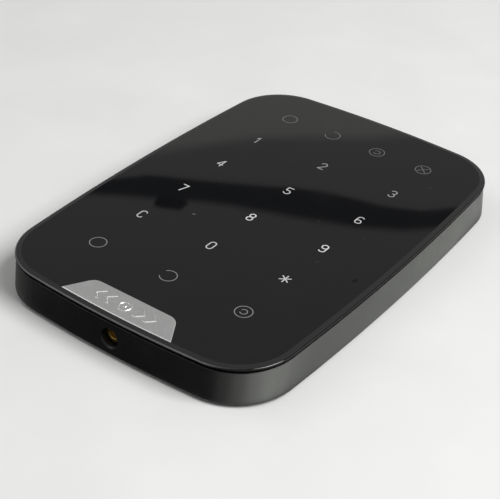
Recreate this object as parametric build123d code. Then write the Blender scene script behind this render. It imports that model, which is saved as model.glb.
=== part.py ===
from build123d import *
import os
from math import sqrt

# A wireless alarm keypad lying on its back, in millimetres. X runs across the keys, Y runs up the
# panel from the badge to the indicators, and Z comes out of the glass. The wall bracket stands on Z = 0.

# Overall outline, at the rear edge of the side wall where the keypad is widest
WIDTH = 103.0
LENGTH = 150.0
SIDE_RADIUS = 900.0         # the long sides bulge on this radius
END_RADIUS = 400.0          # the short ends bulge on this radius
CORNER_RADIUS = 20.1
WALL_FLARE = 0.95           # how far the wall leans in from its rear edge to its top
WALL_THICKNESS = 1.85       # at its top
REAR_EDGE_ROUND = 0.4
TOP_EDGE_ROUND = 0.2

# The stack, from the wall the keypad hangs on to the face of the glass
BRACKET_THICKNESS = 1.0
BRACKET_GAP = 0.1
FLOOR_THICKNESS = 1.5
CELL_BRACKET_GAP = 0.3      # cells clear the bracket's plate by this much
GLASS_THICKNESS = 0.95
FILM_THICKNESS = 0.3        # light guide, and the adhesive frame around it
BOARD_THICKNESS = 0.6
SEAM_HEIGHT = 1.0           # dark seam between the glass and the top of the wall

# Glass panel
GLASS_OVERHANG = 0.3        # the glass stands proud of the wall's top by this much
BEVEL_WIDTH = 1.9
BEVEL_DROP = 0.35
GLASS_EDGE_ROUND = 0.5

# Badge plate
BADGE_DEPTH = 9.7
BADGE_HALF_BASE = 20.6
BADGE_HALF_TOP = 15.1
BADGE_CORNER = 4.0
BADGE_POCKET = 0.55
BADGE_PROUD = 0.2
BADGE_EDGE = 0.2
BADGE_CLEARANCE = 0.05
MARK_HEIGHT = 0.2           # a ring, a dot and four chevrons stand out of the plate
MARK_EDGE = 0.14
MARK_RING_RADIUS = 2.3
MARK_RING_WIDTH = 0.8
MARK_DOT_RADIUS = 0.6
CHEVRON_START = 4.3
CHEVRON_PITCH = 3.9
CHEVRON_POINT = 2.2
CHEVRON_HALF_HEIGHT = 2.2
CHEVRON_STROKE = 1.1        # along X

# Keys and indicators, their rows spread between margins at the two ends
KEY_PITCH_X = 27.5
KEY_ROWS = 5
TOP_ROW_FROM_END = 40.5
LOWEST_ROW_FROM_END = 26.9
INDICATOR_PITCH = 18.3
INDICATORS_FROM_END = 20.3
LED_SIZE = (1.6, 0.8, 0.28)
LED_OFFSET_Y = 4.4
LED_WINDOW_RADIUS = 1.4

# Front frame, seated inside the wall
FRAME_CLEARANCE = 0.1
FRAME_RING_WIDTH = 3.1
FRAME_RING_HEIGHT = 1.55
FRAME_LIP_WIDTH = 1.6
FRAME_LIP_HEIGHT = 0.9
ADHESIVE_SETBACK = 0.5
BOARD_CLEARANCE = 0.2

# Case screws: pan head, driven from the rear
CASE_SCREW_END_DISTANCE = 20.0
CASE_SCREW_RADIUS = 0.98
CASE_SCREW_LENGTH = 6.2
CASE_SCREW_HEAD_RADIUS = 2.0
CASE_SCREW_HEAD_HEIGHT = 1.2
CASE_SCREW_RECESS = 1.4
CASE_SCREW_HEAD_CLEARANCE = 0.2
CASE_SCREW_HOLE_CLEARANCE = 0.12
CASE_SCREW_BOSS_CLEARANCE = 0.02
CASE_SCREW_CROSS = (2.4, 0.5)
BOSS_RADIUS = 2.75
PAD_RADIUS = 3.2
PAD_HEIGHT = 1.0

# Cells, size AAA, side by side
CELL_RADIUS = 5.15
CELL_LENGTH = 44.5
CELL_NUB_RADIUS = 1.9
CELL_NUB_LENGTH = 0.9
CELL_GAP = 0.9
CELL_COUNT = 4
CELL_EDGE_ROUND = 0.4
CELL_BOARD_GAP = 0.15
BAY_CENTRE_Y = 11.0
BAY_SIDE_CLEARANCE = 0.7
BAY_WALL = 1.2
BAY_BOARD_GAP = 0.1
CONTACT_THICKNESS = 0.3
CONTACT_GAP = 2.6           # between the contact plates of cells that aren't joined
CONTACT_TRIM = 2.3          # how much lower a contact plate is than a cell
CONTACT_TAIL_WIDTH = 2.0
LEAF_WIDTH = 3.6
LEAF_ROOT = 0.6             # how far a leaf's ends lie from the plate's top and bottom
LEAF_TRAVEL = 1.9           # room that the leaf springs take up at a cell's negative end

# Locking screw in the lower wall, and the lug of the bracket that it enters
LOCK_HEIGHT = 5.5           # axis above the housing's rear face
LOCK_SEAT_SETBACK = 4.8     # seat behind the outermost point of the lower wall
LOCK_SEAT_THICKNESS = 1.5
LOCK_HOLE_CHAMFER = 0.7     # depth of the hole's mouth behind the outermost point of the wall
LOCK_TUBE_WALL = 1.1
LOCK_TUBE_CLEARANCE = 0.1   # between the tube and the front frame above it
LOCK_SCREW_RADIUS = 1.5
LOCK_SCREW_TIP = 0.76       # how far the screw stands out of the lug
LOCK_HEAD_OVERHANG = 1.1    # head beyond the shank, all round
LOCK_HEAD_HEIGHT = 1.9
LOCK_HEX_ACROSS_FLATS = 2.5
LOCK_HEX_DEPTH = 1.1
LOCK_THREAD_CLEARANCE = 0.03
LOCK_SEAT_CLEARANCE = 0.15
WASHER_OVERHANG = 0.2       # washer beyond the head, all round
WASHER_THICKNESS = 0.5
WASHER_GAP = 0.02
WASHER_HOLE_CLEARANCE = 0.2
LUG_GAP = 0.7               # left between the lug and the tube when the keypad is slid right up
LUG_THICKNESS = 3.5
LUG_WIDTH = 10.0
LUG_TOP_WALL = 0.9
INSERT_WALL = 0.57
LUG_SLOT_CLEARANCE = 0.6

# Bracket: plate, hooks, wall screws and break-off tab
SLIDE_TRAVEL = 8.0          # how far the keypad slides up its bracket to come off
BRACKET_INSET = 6.0
HOOK_X = 33.0
HOOK_ROWS_Y = (46.0, -30.0)
HOOK_WIDTH = 5.6
HOOK_POST = 2.0
HOOK_RELEASE = 2.0          # travel left once the tongues are clear of the floor
HOOK_TONGUE_THICKNESS = 1.3
HOOK_TONGUE_GAP = 0.1
HOOK_SLOT_CLEARANCE = 0.4
WALL_SCREW_SPACING_X = 60.0
WALL_SCREW_SPACING_Y = 110.0
WALL_SCREW_RADIUS = 2.2
COUNTERSINK_DEPTH = 0.6
TAB_CENTRE = (0.0, -35.0)
TAB_SIZE = (24.0, 24.0)
TAB_SLOT_WIDTH = 1.0
TAB_BRIDGE = 1.6
TAB_HOLE_X = -6.0
TAB_CORNER = 3.0

# Tamper plunger, spring and switch
TAMPER_FROM_TAB = (5.5, -3.0)
TAMPER_TRAVEL = 0.7
TAMPER_TIP_GAP = 0.05
TAMPER_STEM_RADIUS = 1.3
TAMPER_GUIDE_CLEARANCE = 0.1
TAMPER_FLANGE_RADIUS = 2.4
TAMPER_FLANGE_LIFT = 1.6    # flange above the floor at rest
TAMPER_FLANGE_THICKNESS = 0.7
TAMPER_PIN_RADIUS = 0.9
TAMPER_PIN_REACH = 0.5      # how far the pin stands inside the switch at rest
SPRING_RADIUS = 1.7
SPRING_WIRE_RADIUS = 0.175
SPRING_TURNS = 4
RAMP_SIDE_CLEARANCE = 0.5

# Power button and switch
POWER_X = 20.0
POWER_Y = -36.0
POWER_CAP_RADIUS = 3.3
POWER_CAP_CLEARANCE = 0.1
POWER_CAP_RECESS = 0.2
POWER_FLANGE_RADIUS = 4.2
POWER_FLANGE_THICKNESS = 0.7
POWER_FLANGE_GAP = 0.1
POWER_STEM_RADIUS = 1.2
SWITCH_SIZE = 6.0
SWITCH_HEIGHT = 3.5
SWITCH_BORE_RADIUS = 1.1
SWITCH_BORE_DEPTH = 1.7
SWITCH_PIN_RADIUS = 1.0
SWITCH_PIN_STANDOFF = 0.6   # how far the pin stands out of the switch
SWITCH_PIN_DEPTH = 0.8      # how far the pin stands inside the switch

# Parts on the rear of the board
SHIELD_SIZE = (18.0, 14.0, 2.0)
SHIELD_WALL = 0.25
SHIELD_PLACE = (-27.0, 51.0)
SOUNDER_RADIUS = 8.0
SOUNDER_HEIGHT = 4.0
SOUNDER_PORT_RADIUS = 1.0
SOUNDER_PORT_DEPTH = 1.0
SOUNDER_PLACE = (21.0, 50.0)
ANTENNA_LENGTH = 32.0
ANTENNA_STRIP = 1.5
ANTENNA_LEG_PITCH = 4.5
ANTENNA_DEPTH = 2.6
ANTENNA_THICKNESS = 0.3
ANTENNA_FROM_END = 11.0
CONTROLLER_SIZE = (7.0, 7.0, 0.9)
CONTROLLER_PLACE = (-34.0, 18.0)
TOUCH_CHIP_SIZE = (5.0, 5.0, 0.9)
TOUCH_CHIP_PLACE = (-34.0, 2.0)
CAPACITOR_SIZE = (7.3, 4.3, 2.8)
CAPACITOR_PLACE = (34.0, 4.0)
CAPACITOR_COUNT = 3
CAPACITOR_PITCH = 8.0
LABEL_SIZE = (16.0, 16.0)
LABEL_THICKNESS = 0.12
LABEL_RECESS = 0.15
LABEL_PLACE = (-19.0, -38.0)

# Heights worked out from the stack
REAR_Z = BRACKET_THICKNESS + BRACKET_GAP
FLOOR_TOP_Z = REAR_Z + FLOOR_THICKNESS
CELL_Z = BRACKET_THICKNESS + CELL_BRACKET_GAP + CELL_RADIUS
BOARD_REAR_Z = CELL_Z + CELL_RADIUS + CELL_BOARD_GAP
FRAME_TOP_Z = BOARD_REAR_Z + BOARD_THICKNESS
GLASS_REAR_Z = FRAME_TOP_Z + FILM_THICKNESS
GLASS_TOP_Z = GLASS_REAR_Z + GLASS_THICKNESS
WALL_TOP_Z = GLASS_REAR_Z - SEAM_HEIGHT
FRAME_RING_Z = FRAME_TOP_Z - FRAME_RING_HEIGHT
LIP_TOP_Z = FRAME_RING_Z + FRAME_LIP_HEIGHT
PAD_TOP_Z = FLOOR_TOP_Z + PAD_HEIGHT
SWITCH_Z = BOARD_REAR_Z - SWITCH_HEIGHT
LOCK_Z = REAR_Z + LOCK_HEIGHT

# Insets of the nested outlines from the widest one
CAVITY_INSET = WALL_FLARE + WALL_THICKNESS
GLASS_INSET = WALL_FLARE - GLASS_OVERHANG
FRAME_INSET = CAVITY_INSET + FRAME_CLEARANCE
RING_INSET = FRAME_INSET + FRAME_RING_WIDTH
LIP_INSET = RING_INSET + FRAME_LIP_WIDTH
BOARD_INSET = RING_INSET + BOARD_CLEARANCE
BADGE_INSET = GLASS_INSET + BEVEL_WIDTH

# Rows of the keys and indicators
KEY_TOP_ROW_Y = LENGTH / 2 - TOP_ROW_FROM_END
KEY_PITCH_Y = (LENGTH - TOP_ROW_FROM_END - LOWEST_ROW_FROM_END) / (KEY_ROWS - 1)
INDICATOR_Y = LENGTH / 2 - INDICATORS_FROM_END

# Bay, contacts, locking screw, lug and tamper places worked out from what they hold or meet
CELL_PITCH = 2 * CELL_RADIUS + CELL_GAP
CONTACT_WIDTH = CELL_PITCH - CONTACT_GAP
CONTACT_HEIGHT = 2 * CELL_RADIUS - CONTACT_TRIM
BAY_HALF_WIDTH = CELL_PITCH * (CELL_COUNT - 1) / 2 + CELL_RADIUS + BAY_SIDE_CLEARANCE
BAY_HALF_LENGTH = (CELL_LENGTH + LEAF_TRAVEL) / 2 + CONTACT_THICKNESS
LOCK_SEAT_Y = LOCK_SEAT_SETBACK - LENGTH / 2
LOCK_TUBE_END_Y = LOCK_SEAT_Y + LOCK_SEAT_THICKNESS
LUG_FACE_Y = LOCK_TUBE_END_Y + SLIDE_TRAVEL + LUG_GAP
LOCK_BORE_RADIUS = LOCK_SCREW_RADIUS + LOCK_THREAD_CLEARANCE
INSERT_RADIUS = LOCK_BORE_RADIUS + INSERT_WALL
LUG_TOP_Z = LOCK_Z + INSERT_RADIUS + LUG_TOP_WALL
LOCK_HEAD_RADIUS = LOCK_SCREW_RADIUS + LOCK_HEAD_OVERHANG
WASHER_RADIUS = LOCK_HEAD_RADIUS + WASHER_OVERHANG
LOCK_HOLE_RADIUS = WASHER_RADIUS + WASHER_HOLE_CLEARANCE
LOCK_TUBE_RADIUS = LOCK_HOLE_RADIUS + LOCK_TUBE_WALL
HOOK_TONGUE_LENGTH = SLIDE_TRAVEL - HOOK_RELEASE
TAMPER_X = TAB_CENTRE[0] + TAMPER_FROM_TAB[0]
TAMPER_Y = TAB_CENTRE[1] + TAMPER_FROM_TAB[1]


def save(name, shape):
    export_step(shape, f"parts/{name}.step")


def block(size_x, size_y, low_z, high_z, x=0.0, y=0.0):
    """A box centred on x, y that spans two heights."""
    height = high_z - low_z
    return Pos(x, y, low_z + height / 2) * Box(size_x, size_y, height)


def rod(radius, low_z, high_z, x=0.0, y=0.0):
    """A round bar along Z that spans two heights."""
    height = high_z - low_z
    return Pos(x, y, low_z + height / 2) * Cylinder(radius, height)


def rod_along_y(radius, low_y, high_y, z):
    """A round bar along Y on the middle plane of the keypad."""
    length = high_y - low_y
    return Pos(0, low_y + length / 2, z) * Rot(90, 0, 0) * Cylinder(radius, length)


def corner_centre():
    """Centre of the corner arc that is tangent to the bulged side and the bulged end."""
    side_reach = SIDE_RADIUS - CORNER_RADIUS
    end_reach = END_RADIUS - CORNER_RADIUS
    side_centre = Vector(WIDTH / 2 - SIDE_RADIUS, 0)
    end_centre = Vector(0, LENGTH / 2 - END_RADIUS)
    line = end_centre - side_centre
    along = (line.length**2 + side_reach**2 - end_reach**2) / (2 * line.length)
    across = sqrt(side_reach**2 - along**2)
    unit = line.normalized()
    return side_centre + unit * along + Vector(-unit.Y, unit.X) * across


CORNER = corner_centre()
SIDE_DIRECTION = (CORNER - Vector(WIDTH / 2 - SIDE_RADIUS, 0)).normalized()
END_DIRECTION = (CORNER - Vector(0, LENGTH / 2 - END_RADIUS)).normalized()


def outline(inset, z=0.0):
    """The keypad's outline as a face at height z, moved inwards by inset."""
    radius = CORNER_RADIUS - inset
    side_point = CORNER + SIDE_DIRECTION * radius
    end_point = CORNER + END_DIRECTION * radius
    middle_point = CORNER + (SIDE_DIRECTION + END_DIRECTION).normalized() * radius
    edges = []
    for sign_x, sign_y in ((1, 1), (-1, 1), (-1, -1), (1, -1)):
        corner_points = [(p.X * sign_x, p.Y * sign_y) for p in (side_point, middle_point, end_point)]
        edges.append(ThreePointArc(*corner_points))
    for sign in (1, -1):
        side_x = sign * side_point.X
        end_y = sign * end_point.Y
        side_middle = (sign * (WIDTH / 2 - inset), 0)
        end_middle = (0, sign * (LENGTH / 2 - inset))
        edges.append(ThreePointArc((side_x, -side_point.Y), side_middle, (side_x, side_point.Y)))
        edges.append(ThreePointArc((-end_point.X, end_y), end_middle, (end_point.X, end_y)))
    return Pos(0, 0, z) * Face(Wire(edges))


def slab(inset, low_z, high_z):
    """The outline, moved inwards by inset, as a plate between two heights."""
    return extrude(outline(inset, low_z), high_z - low_z)


def half_width(y, inset):
    """Half the width of the outline at y, on the side arc or on the corner arc beyond it."""
    radius = CORNER_RADIUS - inset
    if abs(y) <= CORNER.Y + SIDE_DIRECTION.Y * radius:
        return WIDTH / 2 - SIDE_RADIUS + sqrt((SIDE_RADIUS - inset) ** 2 - y**2)
    return CORNER.X + sqrt(radius**2 - (abs(y) - CORNER.Y) ** 2)


def key_places():
    """Centres of the touch keys, row by row."""
    return [
        (column * KEY_PITCH_X, KEY_TOP_ROW_Y - row * KEY_PITCH_Y)
        for row in range(KEY_ROWS)
        for column in (-1, 0, 1)
    ]


def indicator_places():
    """Centres of the four upper indicators."""
    return [((index - 1.5) * INDICATOR_PITCH, INDICATOR_Y) for index in range(4)]


def led_places(centres):
    return [(x, y + LED_OFFSET_Y) for x, y in centres]


def case_screw_places():
    """Three screws down each side, on the inner edge of the front frame's lip."""
    rows = (LENGTH / 2 - CASE_SCREW_END_DISTANCE, 0.0, CASE_SCREW_END_DISTANCE - LENGTH / 2)
    return [(sign * half_width(y, LIP_INSET), y) for y in rows for sign in (1, -1)]


def hook_places():
    return [(sign * HOOK_X, y) for y in HOOK_ROWS_Y for sign in (1, -1)]


def wall_screw_places():
    half_x = WALL_SCREW_SPACING_X / 2
    half_y = WALL_SCREW_SPACING_Y / 2
    return [(sign_x * half_x, sign_y * half_y) for sign_x in (1, -1) for sign_y in (1, -1)]


def cell_places():
    """X of each cell, and +1 where its nub points up the panel or -1 where it points down."""
    first = -CELL_PITCH * (CELL_COUNT - 1) / 2
    return [(first + index * CELL_PITCH, 1 if index % 2 == 0 else -1) for index in range(CELL_COUNT)]


def badge_profile(clearance):
    """Trapezoid with rounded inner corners, cut off along the inner line of the glass's bevel."""
    base_y = BADGE_INSET - LENGTH / 2
    top_y = base_y + BADGE_DEPTH + clearance
    slope = (BADGE_HALF_BASE - BADGE_HALF_TOP) / BADGE_DEPTH
    half_top = BADGE_HALF_TOP + clearance
    low_y = base_y - BEVEL_WIDTH
    half_low = half_top + slope * (top_y - low_y)
    corners = [(-half_low, low_y), (half_low, low_y), (half_top, top_y), (-half_top, top_y)]
    trapezoid = Face(Wire.make_polygon([Vector(x, y) for x, y in corners], close=True))
    inner_corners = trapezoid.vertices().group_by(Axis.Y)[-1]
    rounded = fillet(inner_corners, BADGE_CORNER)
    return rounded & outline(BADGE_INSET - clearance)


def make_touch_panel():
    bevel_z = GLASS_TOP_Z - BEVEL_DROP
    base = slab(GLASS_INSET, GLASS_REAR_Z, bevel_z)
    bevel = loft([outline(GLASS_INSET, bevel_z), outline(BADGE_INSET, GLASS_TOP_Z)], ruled=True)
    panel = base + bevel
    rim = panel.edges().filter_by(lambda edge: abs(edge.center().Z - bevel_z) < BEVEL_DROP / 2)
    panel = fillet(rim, GLASS_EDGE_ROUND)
    pocket_z = GLASS_TOP_Z - BADGE_POCKET
    pocket = Pos(0, 0, pocket_z) * badge_profile(BADGE_CLEARANCE)
    return panel - extrude(pocket, BADGE_POCKET)


def chevron(sign, tail_x, middle_y, low_z):
    """A raised arrowhead that points away from the middle of the badge."""
    half = CHEVRON_HALF_HEIGHT
    profile = [
        (tail_x, half),
        (tail_x + CHEVRON_POINT, 0),
        (tail_x, -half),
        (tail_x + CHEVRON_STROKE, -half),
        (tail_x + CHEVRON_STROKE + CHEVRON_POINT, 0),
        (tail_x + CHEVRON_STROKE, half),
    ]
    face = Face(Wire.make_polygon([Vector(sign * x, middle_y + y, low_z) for x, y in profile], close=True))
    return extrude(face, MARK_HEIGHT, dir=(0, 0, 1))


def make_badge():
    low_z = GLASS_TOP_Z - BADGE_POCKET
    face_z = GLASS_TOP_Z + BADGE_PROUD
    top_z = face_z + MARK_HEIGHT
    plate = extrude(Pos(0, 0, low_z) * badge_profile(0.0), face_z - low_z)
    plate = chamfer(plate.faces().sort_by(Axis.Z)[-1].edges(), BADGE_EDGE)
    mark_y = BADGE_INSET - LENGTH / 2 + BADGE_DEPTH / 2
    ring = rod(MARK_RING_RADIUS, face_z, top_z, 0, mark_y)
    ring -= rod(MARK_RING_RADIUS - MARK_RING_WIDTH, face_z, top_z, 0, mark_y)
    marks = [ring, rod(MARK_DOT_RADIUS, face_z, top_z, 0, mark_y)]
    for sign in (1, -1):
        for index in range(2):
            marks.append(chevron(sign, CHEVRON_START + index * CHEVRON_PITCH, mark_y, face_z))
    for mark in marks:
        plate += chamfer(mark.faces().sort_by(Axis.Z)[-1].edges(), MARK_EDGE)
    return plate


def make_panel_adhesive():
    outer = slab(FRAME_INSET + ADHESIVE_SETBACK, FRAME_TOP_Z, GLASS_REAR_Z)
    return outer - slab(RING_INSET, FRAME_TOP_Z, GLASS_REAR_Z)


def make_light_guide():
    film = slab(BOARD_INSET, FRAME_TOP_Z, GLASS_REAR_Z)
    for x, y in led_places(key_places() + indicator_places()):
        film -= rod(LED_WINDOW_RADIUS, FRAME_TOP_Z, GLASS_REAR_Z, x, y)
    return film


def make_leds(centres):
    size_x, size_y, height = LED_SIZE
    return [block(size_x, size_y, FRAME_TOP_Z, FRAME_TOP_Z + height, x, y) for x, y in led_places(centres)]


def make_main_board():
    return slab(BOARD_INSET, BOARD_REAR_Z, FRAME_TOP_Z)


def make_front_frame():
    ring = slab(FRAME_INSET, FRAME_RING_Z, FRAME_TOP_Z) - slab(RING_INSET, FRAME_RING_Z, FRAME_TOP_Z)
    lip = slab(FRAME_INSET, FRAME_RING_Z, LIP_TOP_Z) - slab(LIP_INSET, FRAME_RING_Z, LIP_TOP_Z)
    frame = ring + lip
    for x, y in case_screw_places():
        frame += rod(BOSS_RADIUS, PAD_TOP_Z, LIP_TOP_Z, x, y)
    bore_radius = CASE_SCREW_RADIUS + CASE_SCREW_BOSS_CLEARANCE
    bore_top = PAD_TOP_Z + CASE_SCREW_LENGTH
    for x, y in case_screw_places():
        frame -= rod(bore_radius, PAD_TOP_Z, bore_top, x, y)
    notch_radius = LOCK_TUBE_RADIUS + LOCK_TUBE_CLEARANCE
    notch_end = LOCK_TUBE_END_Y + LOCK_TUBE_CLEARANCE
    return frame - rod_along_y(notch_radius, -LENGTH / 2, notch_end, LOCK_Z)


def case_screw_seat():
    """Height of the shoulder that a case screw's head bears on."""
    return REAR_Z + CASE_SCREW_RECESS


def make_case_screws():
    """Pan heads with a cross recess, driven up from the rear."""
    seat = case_screw_seat()
    low_z = seat - CASE_SCREW_HEAD_HEIGHT
    cross_z = seat - CASE_SCREW_HEAD_HEIGHT / 2
    long_side, short_side = CASE_SCREW_CROSS
    screws = []
    for x, y in case_screw_places():
        head = rod(CASE_SCREW_HEAD_RADIUS, low_z, seat, x, y)
        head -= block(long_side, short_side, low_z, cross_z, x, y)
        head -= block(short_side, long_side, low_z, cross_z, x, y)
        screws.append(head + rod(CASE_SCREW_RADIUS, seat, seat + CASE_SCREW_LENGTH, x, y))
    return screws


def make_wall_and_floor():
    """Flared side wall and rear floor, as one open tray."""
    outer = loft([outline(0, REAR_Z), outline(WALL_FLARE, WALL_TOP_Z)], ruled=True)
    outer = fillet(outer.faces().sort_by(Axis.Z)[0].edges(), REAR_EDGE_ROUND)
    outer = fillet(outer.faces().sort_by(Axis.Z)[-1].edges(), TOP_EDGE_ROUND)
    return outer - slab(CAVITY_INSET, FLOOR_TOP_Z, WALL_TOP_Z)


def add_case_screw_pads(shell):
    for x, y in case_screw_places():
        shell += rod(PAD_RADIUS, FLOOR_TOP_Z, PAD_TOP_Z, x, y)
    head_radius = CASE_SCREW_HEAD_RADIUS + CASE_SCREW_HEAD_CLEARANCE
    hole_radius = CASE_SCREW_RADIUS + CASE_SCREW_HOLE_CLEARANCE
    for x, y in case_screw_places():
        shell -= rod(head_radius, REAR_Z, case_screw_seat(), x, y)
        shell -= rod(hole_radius, REAR_Z, PAD_TOP_Z, x, y)
    return shell


def add_battery_bay(shell):
    """Four walls around an opening in the floor, which the bracket closes."""
    outer_x = 2 * (BAY_HALF_WIDTH + BAY_WALL)
    outer_y = 2 * (BAY_HALF_LENGTH + BAY_WALL)
    top_z = BOARD_REAR_Z - BAY_BOARD_GAP
    shell += block(outer_x, outer_y, REAR_Z, top_z, 0, BAY_CENTRE_Y)
    return shell - block(2 * BAY_HALF_WIDTH, 2 * BAY_HALF_LENGTH, REAR_Z, top_z, 0, BAY_CENTRE_Y)


def add_lock_seat(shell):
    """Counterbored tube behind the hole in the lower wall, whose mouth is chamfered."""
    outside_y = -LENGTH / 2
    chamfer_y = outside_y + LOCK_HOLE_CHAMFER / 2
    mouth = Cone(LOCK_HOLE_RADIUS, LOCK_HOLE_RADIUS + LOCK_HOLE_CHAMFER, LOCK_HOLE_CHAMFER)
    shell += rod_along_y(LOCK_TUBE_RADIUS, outside_y + WALL_FLARE, LOCK_TUBE_END_Y, LOCK_Z)
    shell -= rod_along_y(LOCK_HOLE_RADIUS, outside_y, LOCK_SEAT_Y, LOCK_Z)
    shell -= Pos(0, chamfer_y, LOCK_Z) * Rot(90, 0, 0) * mouth
    shank_hole = LOCK_SCREW_RADIUS + LOCK_SEAT_CLEARANCE
    return shell - rod_along_y(shank_hole, LOCK_SEAT_Y, LOCK_TUBE_END_Y, LOCK_Z)


def cut_hook_slots(shell):
    low = SLIDE_TRAVEL + HOOK_SLOT_CLEARANCE
    high = HOOK_POST + HOOK_SLOT_CLEARANCE
    width = HOOK_WIDTH + 2 * HOOK_SLOT_CLEARANCE
    for x, y in hook_places():
        shell -= block(width, low + high, REAR_Z, FLOOR_TOP_Z, x, y + (high - low) / 2)
    return shell


def cut_lug_slot(shell):
    low_y = LUG_FACE_Y - SLIDE_TRAVEL - LUG_SLOT_CLEARANCE
    high_y = LUG_FACE_Y + LUG_THICKNESS + LUG_SLOT_CLEARANCE
    width = LUG_WIDTH + 2 * LUG_SLOT_CLEARANCE
    return shell - block(width, high_y - low_y, REAR_Z, FLOOR_TOP_Z, 0, (low_y + high_y) / 2)


def make_housing_shell():
    shell = make_wall_and_floor()
    shell = add_case_screw_pads(shell)
    shell = add_battery_bay(shell)
    shell = add_lock_seat(shell)
    shell = cut_hook_slots(shell)
    shell = cut_lug_slot(shell)
    guide_radius = TAMPER_STEM_RADIUS + TAMPER_GUIDE_CLEARANCE
    shell -= rod(guide_radius, REAR_Z, FLOOR_TOP_Z, TAMPER_X, TAMPER_Y)
    shell -= rod(POWER_CAP_RADIUS + POWER_CAP_CLEARANCE, REAR_Z, FLOOR_TOP_Z, POWER_X, POWER_Y)
    recess_x, recess_y = (size + 2 * LABEL_RECESS for size in LABEL_SIZE)
    return shell - block(recess_x, recess_y, REAR_Z, REAR_Z + LABEL_RECESS, *LABEL_PLACE)


def make_id_label():
    top_z = REAR_Z + LABEL_RECESS
    return block(*LABEL_SIZE, top_z - LABEL_THICKNESS, top_z, *LABEL_PLACE)


def make_cell(x, direction):
    """One cell along Y, its nub against the contact at the end that direction points to."""
    end_y = BAY_CENTRE_Y + direction * (BAY_HALF_LENGTH - CONTACT_THICKNESS)
    can_end = end_y - direction * CELL_NUB_LENGTH
    far_end = end_y - direction * CELL_LENGTH
    can = rod_along_y(CELL_RADIUS, min(can_end, far_end), max(can_end, far_end), CELL_Z)
    can = fillet(can.edges().filter_by(GeomType.CIRCLE), CELL_EDGE_ROUND)
    nub = rod_along_y(CELL_NUB_RADIUS, min(can_end, end_y), max(can_end, end_y), CELL_Z)
    return Pos(x, 0, 0) * (can + nub)


def make_contact(places, end):
    """A plate across one or two cells at one end of the bay, with a leaf for each negative end."""
    wall_y = BAY_CENTRE_Y + end * BAY_HALF_LENGTH
    plate_y = wall_y - end * CONTACT_THICKNESS / 2
    xs = [x for x, direction in places]
    width = max(xs) - min(xs) + CONTACT_WIDTH
    middle_x = (max(xs) + min(xs)) / 2
    low_z = CELL_Z - CONTACT_HEIGHT / 2
    high_z = CELL_Z + CONTACT_HEIGHT / 2
    contact = block(width, CONTACT_THICKNESS, low_z, high_z, middle_x, plate_y)
    contact += block(CONTACT_TAIL_WIDTH, CONTACT_THICKNESS, high_z, BOARD_REAR_Z, middle_x, plate_y)
    for x, direction in places:
        if direction != end:
            contact += make_leaf(x, wall_y, end)
    return contact


def make_leaf(x, wall_y, end):
    """A leaf spring bent out from the contact plate to the flat end of a cell."""
    root = CONTACT_THICKNESS / 2
    half = CONTACT_HEIGHT / 2 - LEAF_ROOT
    reach = LEAF_TRAVEL + CONTACT_THICKNESS
    outside = [(root, half), (reach, 0), (root, -half)]
    inner_half = half - CONTACT_THICKNESS
    inside = [(root, -inner_half), (reach - CONTACT_THICKNESS, 0), (root, inner_half)]
    points = [Vector(0, wall_y - end * y, CELL_Z + z) for y, z in outside + inside]
    leaf = extrude(Face(Wire.make_polygon(points, close=True)), LEAF_WIDTH / 2, dir=(1, 0, 0), both=True)
    return Pos(x, 0, 0) * leaf


def make_lower_contacts():
    cells = cell_places()
    return [make_contact(cells[start:start + 2], -1) for start in range(0, CELL_COUNT, 2)]


def make_upper_contacts():
    cells = cell_places()
    inner = [make_contact(cells[start:start + 2], 1) for start in range(1, CELL_COUNT - 1, 2)]
    return [make_contact(cells[:1], 1)] + inner + [make_contact(cells[-1:], 1)]


def make_hook(x, y):
    """A post with a tongue that reaches up the panel over the housing's floor."""
    tongue_z = FLOOR_TOP_Z + HOOK_TONGUE_GAP
    top_z = tongue_z + HOOK_TONGUE_THICKNESS
    post = block(HOOK_WIDTH, HOOK_POST, 0, top_z, x, y + HOOK_POST / 2)
    tongue_y = y + HOOK_POST + HOOK_TONGUE_LENGTH / 2
    return post + block(HOOK_WIDTH, HOOK_TONGUE_LENGTH, tongue_z, top_z, x, tongue_y)


def make_tab_slots():
    """The ring of slots around the break-off tab, with a bridge left in each side."""
    x, y = TAB_CENTRE
    size_x, size_y = TAB_SIZE
    inner_x = size_x - 2 * TAB_SLOT_WIDTH
    inner_y = size_y - 2 * TAB_SLOT_WIDTH
    outer = extrude(RectangleRounded(size_x, size_y, TAB_CORNER), BRACKET_THICKNESS)
    inner = extrude(RectangleRounded(inner_x, inner_y, TAB_CORNER - TAB_SLOT_WIDTH), BRACKET_THICKNESS)
    slots = outer - inner
    slots -= block(TAB_BRIDGE, size_y, 0, BRACKET_THICKNESS)
    slots -= block(size_x, TAB_BRIDGE, 0, BRACKET_THICKNESS)
    return Pos(x, y, 0) * slots


def make_tamper_ramp():
    """The wedge cut in the bracket that lets the tamper plunger out as the keypad slides up."""
    top_z = BRACKET_THICKNESS
    end_y = TAMPER_Y + SLIDE_TRAVEL
    far_y = end_y + TAMPER_STEM_RADIUS + RAMP_SIDE_CLEARANCE
    low_z = top_z - TAMPER_TRAVEL
    over_z = top_z + TAMPER_TRAVEL
    points = [(TAMPER_Y, top_z), (end_y, low_z), (far_y, low_z), (far_y, over_z), (TAMPER_Y, over_z)]
    profile = Face(Wire.make_polygon([Vector(TAMPER_X, y, z) for y, z in points], close=True))
    return extrude(profile, TAMPER_STEM_RADIUS + RAMP_SIDE_CLEARANCE, dir=(1, 0, 0), both=True)


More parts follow.
